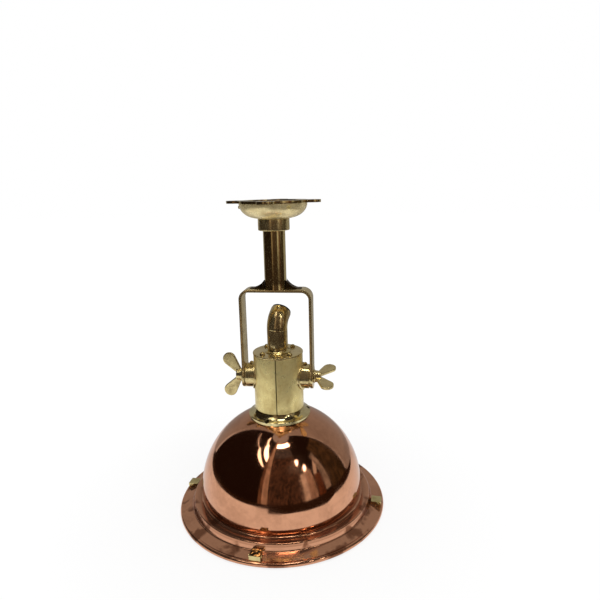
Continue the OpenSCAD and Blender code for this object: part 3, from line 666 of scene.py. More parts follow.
class RingTree(GeometryTree):
    """Copies one fixing round the lamp's axis."""

    def __init__(self) -> None:
        """Builds the tree."""
        super().__init__("ring_of_fixings", {
            "Count": "Int", "Radius": "Float", "Height": "Float", "First Turn": "Float",
            "Lean": "Float"})
        bench = self.bench
        order = bench.node("GeometryNodeInputIndex")
        count, radius = self.given("Count"), self.given("Radius")
        turn = order / count * math.tau + self.given("First Turn")
        points = bench.node("GeometryNodePoints", None, {"Count": count, "Position": bench.joined({
            0: turn.cosine() * radius, 1: turn.sine() * radius, 2: self.given("Height")})})
        own_turn = bench.node("FunctionNodeRandomValue", {"data_type": "FLOAT"},
                              {2: 0.0, 3: math.tau, "ID": order, "Seed": 7}, 1)
        lean, spin = (bench.node("FunctionNodeEulerToRotation", None, {0: bench.joined(parts)})
                      for parts in ({1: self.given("Lean"), 2: turn}, {2: own_turn}))
        whole = bench.node("FunctionNodeRotateRotation", {"rotation_space": "LOCAL"},
                           {0: lean, 1: spin})
        self.close(bench.node("GeometryNodeInstanceOnPoints", None, {
            "Points": points, "Instance": self.given("Geometry"), "Rotation": whole}))


# The workshop: how pieces are made


def arc(middle: Point, radius: float, start: float, end: float, steps: int) -> list[Point]:
    """Points along an arc.

    Args:
        middle: Its middle, as distance from the axis and height.
        radius: Its radius.
        start: First angle in degrees, 0 pointing away from the axis.
        end: Last angle in degrees.
        steps: Number of stretches.

    Returns:
        The points, both ends included.
    """
    angles = (math.radians(start + (end - start) * i / steps) for i in range(steps + 1))
    return [(middle[0] + radius * math.cos(a), middle[1] + radius * math.sin(a)) for a in angles]


def tube_section(node: str, outer: float, inner: float, round_edge: float) -> list[Point]:
    """Section of a tube with rounded outer edges.

    Args:
        node: Node that gives its two heights.
        outer: Outer radius.
        inner: Inner radius.
        round_edge: Radius of its outer edges.

    Returns:
        The closed section.
    """
    low, high = span(node)
    side = outer - round_edge
    half = round_edge * 0.5
    return [(inner + half, low), *arc((side, low + round_edge), round_edge, -90, 0, 5),
            *arc((side, high - round_edge), round_edge, 0, 90, 5), (inner + half, high),
            (inner, high - half), (inner, low + half)]


@contextmanager
def editing(mesh: bpy.types.Mesh, start: bpy.types.Mesh | None = None) -> Iterator[
        bmesh.types.BMesh]:
    """Opens a mesh for bmesh calls and writes the result back.

    Args:
        mesh: The mesh that takes the result.
        start: The mesh that the work starts from, if any.

    Yields:
        The work in hand.
    """
    work = bmesh.new()
    if start is not None:
        work.from_mesh(start)
    yield work
    work.to_mesh(mesh)
    work.free()


@dataclass
class Workshop:
    """Makes pieces and ties them to the frame."""

    finishes: Finishes
    spin_tree: SpinTree = field(default_factory=SpinTree)
    ring_tree: RingTree = field(default_factory=RingTree)
    soft_angle: float = 32.0
    bevel_angle: float = 40.0
    bevel_steps: int = 3
    flat_angle: float = 0.4
    weld_gap: float = 0.001
    pieces: int = 0

    def spin(self, node: str, name: str, section: Sequence[Point], steps: int = 192,
             unevenness: float = 0.0, patch: float = 20.0) -> bpy.types.Object:
        """Makes a turned piece.

        Args:
            node: Node whose finish it gets.
            name: Name of the piece.
            section: Closed section in millimetres.
            steps: Faces round the axis.
            unevenness: Largest swelling in millimetres.
            patch: Size of the uneven patches in millimetres.

        Returns:
            The piece.
        """
        mesh = bpy.data.meshes.new(name + "_section")
        mesh.from_pydata([(r * MM, 0.0, z * MM) for r, z in section], [], [])
        return self.settle(self.spin_tree.apply(mesh, name, {
            "Steps": steps, "Unevenness": unevenness * MM, "Patch Size": patch * MM,
            "Material": self.finishes.of(node)}))

    def turned(self, node: str, name: str, section: Sequence[Point], steps: int = 192,
               unevenness: float = 0.0, patch: float = 20.0) -> None:
        """Makes and fits a turned piece, with the values that spin takes."""
        self.fit(self.spin(node, name, section, steps, unevenness, patch), node)

    def ring(self, node: str, name: str, screw: "DomedScrew", count: int, radius: float,
             height: float, first: float, lean: float = 0.0) -> None:
        """Makes and fits a ring of screws round the axis.

        Args:
            node: Node that the screws stand for.
            name: Name of the piece.
            screw: One of the screws.
            count: Number of screws.
            radius: Distance from the axis.
            height: Height of their seats.
            first: Direction of the first in degrees.
            lean: Lean away from the axis in degrees.
        """
        self.fit(self.settle(self.ring_tree.apply(screw.mesh(self), name, {
            "Count": count, "Radius": radius * MM, "Height": height * MM,
            "First Turn": math.radians(first), "Lean": math.radians(lean),
            "Material": self.finishes.of(node)})), node)

    def settle(self, piece: bpy.types.Object) -> bpy.types.Object:
        """Welds a closed piece, points its faces outwards and softens its shallow edges."""
        with editing(piece.data, piece.data) as work:
            bmesh.ops.remove_doubles(work, verts=work.verts, dist=self.weld_gap * MM)
            bmesh.ops.recalc_face_normals(work, faces=work.faces)
        return self.soften(piece)

    def soften(self, piece: bpy.types.Object) -> bpy.types.Object:
        """Shades a piece smooth, apart from its sharp edges."""
        piece.data.shade_smooth()
        piece.data.set_sharp_from_angle(angle=math.radians(self.soft_angle))
        return piece

    def copied(self, node: str, name: str) -> bpy.types.Object:
        """Copies a CAD node with its triangles welded and its flat faces made whole."""
        mesh = bpy.data.meshes.new(name)
        with editing(mesh, frame["nodes"][node].data) as work:
            bmesh.ops.remove_doubles(work, verts=work.verts, dist=self.weld_gap * MM)
            bmesh.ops.dissolve_limit(work, angle_limit=math.radians(self.flat_angle),
                                     verts=work.verts, edges=work.edges)
        return placed(name, mesh)

    def machined(self, node: str, name: str, edge: float) -> None:
        """Copies a CAD node, rounds its edges and fits it.

        Args:
            node: Name of the CAD node.
            name: Name of the piece.
            edge: Width of the rounded edges in millimetres.
        """
        piece = self.copied(node, name)
        bevel = piece.modifiers.new("edges", "BEVEL")
        bevel.width = edge * MM
        bevel.segments = self.bevel_steps
        bevel.limit_method = "ANGLE"
        bevel.angle_limit = math.radians(self.bevel_angle)
        bevel.use_clamp_overlap = True
        piece = self.soften(evaluated_piece(piece, name))
        self.paint(piece, node)
        self.fit(piece, node)

    def cast(self, node: str, name: str, grain: float, smoothing: int) -> None:
        """Copies a CAD node as a casting with soft edges and filled corners, and fits it.

        Args:
            node: Name of the CAD node.
            name: Name of the piece.
            grain: Size of its faces in millimetres.
            smoothing: Rounds of smoothing.
        """
        piece = self.copied(node, name)
        fine = piece.modifiers.new("skin", "REMESH")
        fine.mode = "VOXEL"
        fine.voxel_size = grain * MM
        soft = piece.modifiers.new("soft", "SMOOTH")
        soft.factor = 0.5
        soft.iterations = smoothing
        piece = evaluated_piece(piece, name)
        piece.data.shade_smooth()
        self.paint(piece, node)
        self.fit(piece, node)

    def cut(self, piece: bpy.types.Object, cutters: Sequence[bpy.types.Object]) -> bpy.types.Object:
        """Cuts shapes out of a piece and removes the cutters.

        Args:
            piece: The piece.
            cutters: Closed shapes to take away.

        Returns:
            The cut piece.
        """
        name = piece.name
        piece.name = name + "_blank"
        for cutter in cutters:
            tool = piece.modifiers.new(cutter.name, "BOOLEAN")
            tool.operation = "DIFFERENCE"
            tool.solver = "EXACT"
            tool.material_mode = "TRANSFER"
            tool.object = cutter
        result = evaluated_piece(piece, name)
        for cutter in cutters:
            bpy.data.objects.remove(cutter)
        return self.soften(result)

    def paint(self, piece: bpy.types.Object, node: str) -> None:
        """Gives a piece the finish of a node."""
        piece.data.materials.clear()
        piece.data.materials.append(self.finishes.of(node))

    def fit(self, piece: bpy.types.Object, *nodes: str) -> None:
        """Puts a piece in the place of its nodes and reports it."""
        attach(piece, BODY_OF[nodes[0]])
        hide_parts(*nodes)
        self.pieces += 1
        log.info("%s stands for %s, %d faces", piece.name, ", ".join(nodes),
                 len(piece.data.polygons))

    def keep(self, *nodes: str) -> None:
        """Keeps CAD nodes and gives them their finish."""
        for node in nodes:
            thing = frame["nodes"][node]
            if not thing.material_slots:
                thing.data.materials.append(None)
            for slot in thing.material_slots:
                slot.material = self.finishes.of(node)
            log.info("%s is the CAD node", node)


def block(name: str, low: Place, high: Place, turn: float = 0.0) -> bpy.types.Object:
    """Makes a box to cut with.

    Args:
        name: Its name.
        low: Lowest corner in millimetres.
        high: Highest corner in millimetres.
        turn: Turn round the lamp's axis in degrees.

    Returns:
        The box.
    """
    mesh = bpy.data.meshes.new(name)
    size = [(b - a) * MM for a, b in zip(low, high)]
    middle = [(a + b) / 2 * MM for a, b in zip(low, high)]
    with editing(mesh) as work:
        bmesh.ops.create_cube(work, size=1.0)
        bmesh.ops.transform(work, matrix=Matrix.Rotation(math.radians(turn), 4, "Z")
                            @ Matrix.Translation(middle) @ Matrix.Diagonal((*size, 1.0)),
                            verts=work.verts)
    return placed(name, mesh)


def drill(name: str, radius: float, length: float, matrix: Matrix) -> bpy.types.Object:
    """Makes a round bar to cut with.

    Args:
        name: Its name.
        radius: Its radius in millimetres.
        length: Its length in millimetres.
        matrix: Its place and turn, in metres.

    Returns:
        The bar.
    """
    mesh = bpy.data.meshes.new(name)
    with editing(mesh) as work:
        bmesh.ops.create_cone(work, cap_ends=True, segments=48, radius1=radius * MM,
                              radius2=radius * MM, depth=length * MM, matrix=matrix)
    return placed(name, mesh)


@dataclass(frozen=True)
class DomedScrew:
    """A slotted screw with a domed head and a short shank."""

    head_r: float
    head_h: float
    shank_r: float = 1.5
    shank: float = 3.0
    slot_w: float = 0.8
    slot_d: float = 0.55
    steps: int = 40

    def mesh(self, shop: Workshop) -> bpy.types.Mesh:
        """Makes one screw, its seat on height 0.

        Args:
            shop: The workshop.

        Returns:
            The mesh.
        """
        ball = (self.head_r ** 2 + self.head_h ** 2) / (2 * self.head_h)
        rise = math.degrees(math.acos(self.head_r / ball)) if self.head_h <= self.head_r else 0.0
        dome = arc((0.0, self.head_h - ball), ball, rise, 88.5, 12)
        rows = [(self.shank_r, -self.shank), (self.shank_r, 0.0), (self.head_r, 0.0), *dome]
        turns = [math.tau * i / self.steps for i in range(self.steps)]
        mesh = bpy.data.meshes.new("screw")
        with editing(mesh) as work:
            rings = [[work.verts.new((r * MM * math.cos(t), r * MM * math.sin(t), z * MM))
                      for t in turns] for r, z in rows]
            for lower, upper in zip(rings, rings[1:]):
                for i in range(self.steps):
                    j = (i + 1) % self.steps
                    work.faces.new((lower[i], lower[j], upper[j], upper[i]))
            work.faces.new(reversed(rings[0]))
            work.faces.new(rings[-1])
            bmesh.ops.recalc_face_normals(work, faces=work.faces)
        reach = self.head_r + 1
        slot = block("slot", (-reach, -self.slot_w / 2, self.head_h - self.slot_d),
                     (reach, self.slot_w / 2, self.head_h + 1))
        made = shop.cut(placed("screw", mesh), [slot])
        mesh = made.data
        bpy.data.objects.remove(made)
        return mesh


# Sub-assemblies


@dataclass
class CeilingFitting:
    """The eared plate, the dish below it and the dish's screws."""

    plate_edge: float = 0.5
    mouth_r: float = 38.6
    flat_r: float = 17.0
    wall: float = 1.6
    bore_r: float = 12.85
    screws: int = 3
    screw_drop: float = 4.2
    screw_turn: float = -53.5
    screw: DomedScrew = DomedScrew(2.4, 1.2)

    def side(self, inset: float, steps: int) -> list[Point]:
        """One face of the dish's wall: a quarter of an ellipse, from the mouth down.

        Args:
            inset: How far inside the dish's outer face it lies.
            steps: Number of stretches.

        Returns:
            The points, both ends included.
        """
        bottom, top = span("canopy_bowl")
        turns = (math.pi / 2 * i / steps for i in range(steps + 1))
        return [(self.flat_r + (self.mouth_r - self.flat_r - inset) * math.cos(t),
                 top - (top - bottom - inset) * math.sin(t)) for t in turns]

    def make(self, shop: Workshop) -> None:
        """Makes and fits the pieces."""
        shop.machined("ceiling_plate", "eared_plate", self.plate_edge)
        bottom, top = span("canopy_bowl")
        shop.turned("canopy_bowl", "spun_dish", [
            *self.side(0.0, 40), (self.bore_r, bottom), (self.bore_r, bottom + self.wall),
            *reversed(self.side(self.wall, 28))], 256, 0.12, 16)
        edge = (self.screw_drop - self.screw.head_r) / (top - bottom)
        seat = self.flat_r + (self.mouth_r - self.flat_r) * math.sqrt(1 - edge * edge)
        shop.ring("canopy_screws", "dish_screw_ring", self.screw, self.screws, seat,
                  top - self.screw_drop, self.screw_turn, 90.0)
        shop.keep("stem_nut", "stem_washer")


@dataclass
class Stem:
    """Collar, hollow stem and the webs at its foot."""

    stem_r: float = 12.75
    stem_wall: float = 2.0
    foot_flare: float = 0.5
    foot_len: float = 9.0
    foot_ease: Point = (0.3, 0.4)
    top_edge: float = 0.5
    collar_r: float = 18.0
    collar_round: float = 1.2
    collar_edge: float = 0.4
    web_grain: float = 0.45
    web_smoothing: int = 6

    def stem_section(self) -> list[Point]:
        """Section of the stem, flared a little at its foot."""
        low, high = span("stem_tube")
        inner = self.stem_r - self.stem_wall
        return [(inner, low), (self.stem_r + self.foot_flare, low),
                (self.stem_r + self.foot_flare * self.foot_ease[0],
                 low + self.foot_len * self.foot_ease[1]),
                (self.stem_r, low + self.foot_len), (self.stem_r, high - self.top_edge),
                (self.stem_r - self.top_edge, high), (inner, high)]

    def collar_section(self) -> list[Point]:
        """Section of the collar, its lower edge rounded."""
        low, high = span("stem_collar")
        inner = self.stem_r + 0.1
        bend = self.collar_round
        return [(inner, low), *arc((self.collar_r - bend, low + bend), bend, -90, 0, 8),
                (self.collar_r, high - self.collar_edge),
                (self.collar_r - self.collar_edge, high), (inner, high)]

    def make(self, shop: Workshop) -> None:
        """Makes and fits the pieces."""
        shop.turned("stem_tube", "stem_pipe", self.stem_section(), 160, 0.04, 14)
        shop.turned("stem_collar", "dish_collar", self.collar_section())
        shop.cast("stem_webs", "foot_webs", self.web_grain, self.web_smoothing)


@dataclass
class Yoke:
    """The flat bar bent in a U with an eye on each leg."""

    edge: float = 0.7

    def make(self, shop: Workshop) -> None:
        """Makes and fits the bar."""
        shop.machined("yoke", "bent_yoke", self.edge)


@dataclass
class Cap:
    """Sleeve, lid, skirt and their screws."""

    sleeve_r: float = 29.5
    sleeve_wall: float = 2.0
    sleeve_round: float = 0.7
    seam_turn: float = -86.0
    seam_w: float = 1.1
    seam_d: float = 0.7
    bolt_hole_r: float = 6.5
    lid_lip: float = 0.5
    lid_bore: float = 12.3
    lid_round: float = 0.75
    lid_screws: int = 4
    lid_screw: DomedScrew = DomedScrew(3.2, 3.4)
    lid_screw_ring: float = 22.6
    lid_screw_turn: float = 47.0
    skirt_r: float = 37.5
    skirt_bore: float = 25.6
    skirt_edge: float = 3.6
    skirt_h: float = 10.5
    flare_r: float = 12.0
    spigot_h: float = 4.0
    dome_r: float = 98.9
    fit: float = 0.1
    skirt_screws: int = 3
    skirt_screw: DomedScrew = DomedScrew(2.3, 1.5)
    skirt_screw_ring: float = 34.2
    skirt_screw_turn: float = 15.0
    skirt_seat: float = 2.4
    skirt_seat_r: float = 2.7
    seat_reach: float = 8.0

    def sleeve(self, shop: Workshop) -> bpy.types.Object:
        """Makes the sleeve with its butt seam, whose walls are painted dark as painted shade, and its bolt holes.
        """
        low, high = span("cap_sleeve")
        blank = shop.spin("cap_sleeve", "rolled_sleeve", tube_section(
            "cap_sleeve", self.sleeve_r, self.sleeve_r - self.sleeve_wall, self.sleeve_round),
            288, 0.05, 24)
        seam = block("seam", (self.sleeve_r - self.seam_d, -self.seam_w / 2, low - 1),
                     (self.sleeve_r + 1, self.seam_w / 2, high + 1), self.seam_turn)
        axis = Vector(frame["joints"][0]["pos_m"])
        holes = drill("holes", self.bolt_hole_r, 4 * self.sleeve_r,
                      Matrix.Translation(axis) @ Matrix.Rotation(math.pi / 2, 4, "Y"))
        # The seam's walls take the webs' very dark brass: painted shade in the groove.
        shop.paint(seam, "stem_webs")
        shop.paint(holes, "cap_sleeve")
        return shop.cut(blank, [seam, holes])

    def skirt_section(self, foot: float, dome_z: float) -> list[Point]:
        """Section of the skirt, hollow between sleeve and edge and bedded on the dome.

        Args:
            foot: Height of the sleeve's foot.
            dome_z: Height of the dome's middle.

        Returns:
            The closed section.
        """
        spigot = self.sleeve_r - self.sleeve_wall - self.fit
        edge_top = foot - self.skirt_h + self.skirt_edge
        start = Vector((self.sleeve_r + self.fit, foot))
        end = Vector((self.skirt_r - 1, edge_top + 0.5))
        run = end - start
        side = Vector((-run.y, run.x)).normalized()
        middle = (start + end) / 2 + side * math.sqrt(self.flare_r ** 2 - (run.length / 2) ** 2)
        first, last = (math.degrees(math.atan2(p.y - middle.y, p.x - middle.x))
                       for p in (start, end))
        if last < first:
            last += 360
        bed_r = self.dome_r + self.fit
        bed_out, bed_in = (math.degrees(math.acos(r / bed_r))
                           for r in (self.skirt_r, self.skirt_bore))
        return [(self.skirt_bore, foot + self.spigot_h), (spigot, foot + self.spigot_h),
                (spigot, foot - self.fit), (start.x, foot - self.fit),
                *arc((middle.x, middle.y), self.flare_r, first, last, 20),
                (self.skirt_r - 0.3, edge_top + 0.15), (self.skirt_r, edge_top - 0.3),
                *arc((0.0, dome_z), bed_r, bed_out, bed_in, 10)]

    def screw_seats(self, shop: Workshop, dome_z: float, lean: float) -> list[bpy.types.Object]:
        """Makes the cutters of the hollows that the skirt's screws sit in, whose walls are painted dark as painted
        shade.

        Args:
            shop: The workshop.
            dome_z: Height of the dome's middle.
            lean: Lean of the screws away from the axis.

        Returns:
            The cutters.
        """
        rise = (self.dome_r + self.skirt_seat + self.seat_reach / 2) * MM
        seats = []
        for i in range(self.skirt_screws):
            turn = math.radians(self.skirt_screw_turn) + math.tau * i / self.skirt_screws
            seats.append(drill(f"screw_seat_{i}", self.skirt_seat_r, self.seat_reach, (
                Matrix.Rotation(turn, 4, "Z") @ Matrix.Translation((0.0, 0.0, dome_z * MM))
                @ Matrix.Rotation(lean, 4, "Y") @ Matrix.Translation((0.0, 0.0, rise)))))
            # The hollow's walls take the webs' very dark brass: painted shade round the screw.
            shop.paint(seats[-1], "stem_webs")
        return seats

    def make(self, shop: Workshop) -> None:
        """Makes and fits the pieces."""
        shop.fit(self.sleeve(shop), "cap_sleeve")
        shop.turned("cap_lid", "cap_top", tube_section(
            "cap_lid", self.sleeve_r + self.lid_lip, self.lid_bore, self.lid_round), 224)
        shop.ring("lid_screws", "lid_screw_ring", self.lid_screw, self.lid_screws,
                  self.lid_screw_ring, span("cap_lid")[1] + self.fit, self.lid_screw_turn)
        foot = span("cap_sleeve")[0]
        dome_z = foot - self.skirt_h - math.sqrt(self.dome_r ** 2 - self.skirt_r ** 2)
        lean = math.asin(self.skirt_screw_ring / self.dome_r)
        blank = shop.spin("cap_skirt", "flared_skirt", self.skirt_section(foot, dome_z), 224,
                          0.05, 9)
        shop.fit(shop.cut(blank, self.screw_seats(shop, dome_z, lean)), "cap_skirt")
        seat = self.dome_r + self.skirt_seat + self.fit
        shop.ring("skirt_screws", "skirt_screw_ring", self.skirt_screw, self.skirt_screws,
                  seat * math.sin(lean), dome_z + seat * math.cos(lean), self.skirt_screw_turn,
                  math.degrees(lean))
        shop.keep("lid_ring", "crown_ring")


@dataclass
class CableInlet:
    """The brazed ring, upright tube, bent elbow and rubber bush."""

    tube_r: float = 12.2
    tube_wall: float = 1.6
    tube_round: float = 0.5
    ferrule_r: float = 15.4
    ferrule_h: float = 4.0
    braze_r: float = 3.2
    braze_turns: Point = (252, 186)
    elbow_edge: float = 0.35

    def make(self, shop: Workshop) -> None:
        """Makes and fits the pieces."""
        shop.turned("inlet_tube", "inlet_pipe", tube_section(
            "inlet_tube", self.tube_r, self.tube_r - self.tube_wall, self.tube_round),
            160, 0.05, 10)
        foot = span("inlet_ferrule")[0]
        inner = self.tube_r + 0.1
        bead = arc((self.ferrule_r + 0.3, foot + self.ferrule_h + 0.2), self.braze_r,
                   *self.braze_turns, 10)
        shop.turned("inlet_ferrule", "braze_bead", [
            (inner, foot), (self.ferrule_r - 0.3, foot), (self.ferrule_r, foot + 0.4), *bead,
            (inner + 0.1, foot + self.ferrule_h)], 160, 0.35, 4)
        shop.machined("inlet_elbow", "inlet_bend", self.elbow_edge)
        shop.keep("inlet_bush")


@dataclass
class TiltClamps:
    """Bosses, washers, lock screws and the two wing bolts."""

    boss_edge: float = 0.5
    washer_edge: float = 0.2
    screw_edge: float = 0.1
    wing_grain: float = 0.36
    wing_smoothing: int = 7

    def make(self, shop: Workshop) -> None:
        """Makes and fits the pieces."""
        shop.machined("tilt_bosses", "turned_bosses", self.boss_edge)
        shop.machined("tilt_washers", "friction_washers", self.washer_edge)
        shop.machined("lock_screws", "boss_screws", self.screw_edge)
        for node in ("left_wing_bolt", "right_wing_bolt"):
            shop.cast(node, node + "_casting", self.wing_grain, self.wing_smoothing)


@dataclass
class CopperShade:
    """The spun shade: dome, bead, ledge, step, flange and rolled edge in one skin."""

    dome_r: float = 98.9
    wall: float = 1.4
    crown_r: float = 28.0
    dome_rise: float = 25.0
    tuck_r: float = 22.0
    tuck_end: float = -19.6
    bead_r: float = 2.9
    bead_out: float = 0.4
    bead_sink: float = 0.2
    ledge_h: float = 15.3
    ledge_rise: float = 1.1
    ledge_w: float = 8.7
    step_lean: float = 2.0
    flange_h: float = 8.7
    flange_drop: float = 3.3
    corner_r: float = 1.5
    flange_w: float = 15.6
    roll_r: float = 2.8
    roll_lap: float = 0.68
    tuck_fold: float = 0.885
    steps: int = 336

    def section(self) -> list[Point]:
        """Section of the whole skin, its outside from the crown down and its inside back up."""
        foot = span("shade")[0]
        dome = (0.0, foot + self.dome_rise)
        tuck = (self.dome_r - self.tuck_r, foot + self.dome_rise)
        bead_x = tuck[0] + math.sqrt(self.tuck_r ** 2 - (self.dome_rise - self.ledge_h) ** 2) \
            + self.bead_out * self.bead_r
        bead_h = self.ledge_h - self.bead_sink * self.bead_r
        bead = (bead_x, foot + bead_h)
        bead_end = math.degrees(math.asin((self.ledge_h - bead_h) / self.bead_r))
        step_r = bead_x + self.bead_r + self.ledge_w
        drop = (step_r - self.wall, foot + self.ledge_h + self.ledge_rise - self.wall)
        hollow = (step_r + self.step_lean + self.corner_r, foot + self.flange_h + self.corner_r)
        roll = (step_r + self.step_lean + self.flange_w - self.roll_r, foot + self.roll_r)
        flange_z = foot + self.flange_h - self.flange_drop
        under = (flange_z - self.wall - roll[1]) / self.roll_r
        inner_r = self.dome_r - self.wall
        tuck_in = self.tuck_r - self.wall
        foot_turn = -math.degrees(math.asin((self.dome_rise - bead_h) / tuck_in))
        crown_out, crown_in = (math.degrees(math.acos(self.crown_r / r))
                               for r in (self.dome_r, inner_r))
        outside = [
            *arc(dome, self.dome_r, crown_out, 0, 84),
            *arc(tuck, self.tuck_r, 0, self.tuck_end, 10)[1:],
            *arc(bead, self.bead_r, 92, bead_end, 14),
            *arc(drop, self.wall, 90, 0, 7),
            *arc(hollow, self.corner_r, 180, 270, 8),
            (roll[0] - self.roll_lap * self.roll_r, flange_z),
            *arc(roll, self.roll_r, 115, -180 - math.degrees(math.asin(under)), 26),
        ]
        inside = [
            *arc(hollow, self.corner_r + self.wall, 270, 180, 6),
            drop,
            (bead_x + self.bead_r - self.wall, foot + self.ledge_h - self.wall),
            *arc(bead, self.bead_r - self.wall, 0, 110, 6),
            (tuck[0] + self.tuck_r * self.tuck_fold, foot + bead_h),
            *arc(tuck, tuck_in, foot_turn, 0, 7),
            *arc(dome, inner_r, 0, crown_in, 40)[1:],
        ]
        return [*outside, *inside]

    def make(self, shop: Workshop) -> None:
        """Makes and fits the shade."""
        shop.turned("shade", "spun_shade", self.section(), self.steps, 0.05, 60)
        shop.keep("rim_wire")


@dataclass
class RimLugs:
    """The four blocks on the flange, their cross pins and rivets."""

    block_edge: float = 0.6
    pin_edge: float = 0.2
    rivet_edge: float = 0.3

    def make(self, shop: Workshop) -> None:
        """Makes and fits the pieces."""
        shop.machined("guard_lugs", "drilled_lugs", self.block_edge)
        shop.machined("guard_pins", "lug_pins", self.pin_edge)
        shop.machined("lug_rivets", "lug_rivet_set", self.rivet_edge)


@dataclass
class LampHolder:
    """Bracket, porcelain holder, its metal parts and the bulb."""

    globe_r: float = 30.0
    globe_drop: float = 50.0
    neck_r: float = 12.6
    neck_turn: float = 48.0
    neck_steps: int = 24
    neck_ease: float = 1.35
    holder_edge: float = 0.4
    cap_edge: float = 0.3

    def glass_section(self) -> list[Point]:
        """Section of the bulb's glass, globe and neck in one sweep."""
        middle = span("bulb_glass")[0] + self.globe_r
        turn = math.radians(self.neck_turn)
        start_r, start_z = self.globe_r * math.cos(turn), self.globe_r * math.sin(turn)
        end_z = self.globe_drop - 2
        points = arc((0.0, middle), self.globe_r, -89.5, self.neck_turn, 56)
        for i in range(1, self.neck_steps + 1):
            t = i / self.neck_steps
            ease = 3 * t * t - 2 * t ** 3
            points.append((start_r + (self.neck_r - start_r)
                           * (self.neck_ease * t * (1 - t) * (1 - t) + ease),
                           middle + start_z + (end_z - start_z) * t))
        return [*points, (0.05, points[-1][1])]

    def make(self, shop: Workshop) -> None:
        """Makes and fits the pieces."""
        shop.turned("bulb_glass", "opal_globe", self.glass_section(), 96)
        shop.machined("lamp_holder", "porcelain_holder", self.holder_edge)
        shop.machined("bulb_cap", "screw_cap", self.cap_edge)
        shop.keep("holder_bracket", "bracket_screws", "holder_screws", "socket_shell",
                  "centre_contact", "terminals", "terminal_screws")


# Studio


@dataclass(frozen=True)
class Strip:
    """A narrow card seen only in reflections, between two directions with height angles."""

    start: Point
    end: Point
    width: float
    colour: Colour
    strength: float


@dataclass(frozen=True)
class Zone:
    """A part of the room's wall between two directions and two height angles."""

    turns: Point
    rises: Point
    colour: Colour
    mottle: float
    patch_size: float


ZONES = (
    Zone((-98.0, -50.0), (-10.0, 58.0), (72, 54, 42), 0.75, 5.0),
    Zone((-98.0, -48.0), (56.0, 72.0), (78, 74, 72), 0.4, 8.0),
    Zone((-54.0, -42.0), (-12.0, 31.0), (206, 196, 184), 0.3, 9.0),
    Zone((-42.0, -31.0), (-4.0, 33.0), (160, 140, 126), 0.35, 6.0),
    Zone((-29.0, -19.0), (-12.0, 24.0), (92, 56, 34), 0.5, 5.0),
    Zone((-18.0, -9.0), (0.0, 46.0), (140, 134, 126), 0.4, 8.0),
    Zone((-8.0, 23.0), (-5.0, 54.0), (66, 54, 36), 0.5, 9.0),
    Zone((-112.5, -107.5), (-14.0, 84.0), (96, 72, 54), 0.3, 9.0),
    Zone((-107.5, -99.5), (-14.0, 84.0), (168, 146, 128), 0.3, 9.0))

STRIPS = (
    Strip((-57.5, 40.0), (-46.5, 51.0), 7.0, LAMP_WHITE, 9.0),
    Strip((-40.0, 33.5), (-36.5, 41.0), 4.0, LAMP_WHITE, 9.0),
    Strip((-7.0, 10.0), (-2.0, 10.2), 3.4, LAMP_WHITE, 0.6),
    Strip((-66.0, -13.0), (-66.0, 3.0), 1.6, LAMP_WHITE, 0.6),
    Strip((-172.0, 78.0), (-126.0, 67.0), 3.6, LAMP_WHITE, 3.0),
    Strip((-140.0, 72.0), (-106.0, 48.0), 7.5, LAMP_WHITE, 5.0),
    Strip((-198.0, 64.0), (-140.0, 59.0), 5.0, LAMP_WHITE, 2.0),
    Strip((-150.0, 61.0), (-116.0, 43.0), 7.0, LAMP_WHITE, 3.0),
    Strip((-27.0, 22.0), (-17.0, 39.0), 6.0, CARD_GREY, 1.0),
    Strip((-14.0, 42.0), (2.0, 52.0), 5.0, CARD_GREY, 0.3))


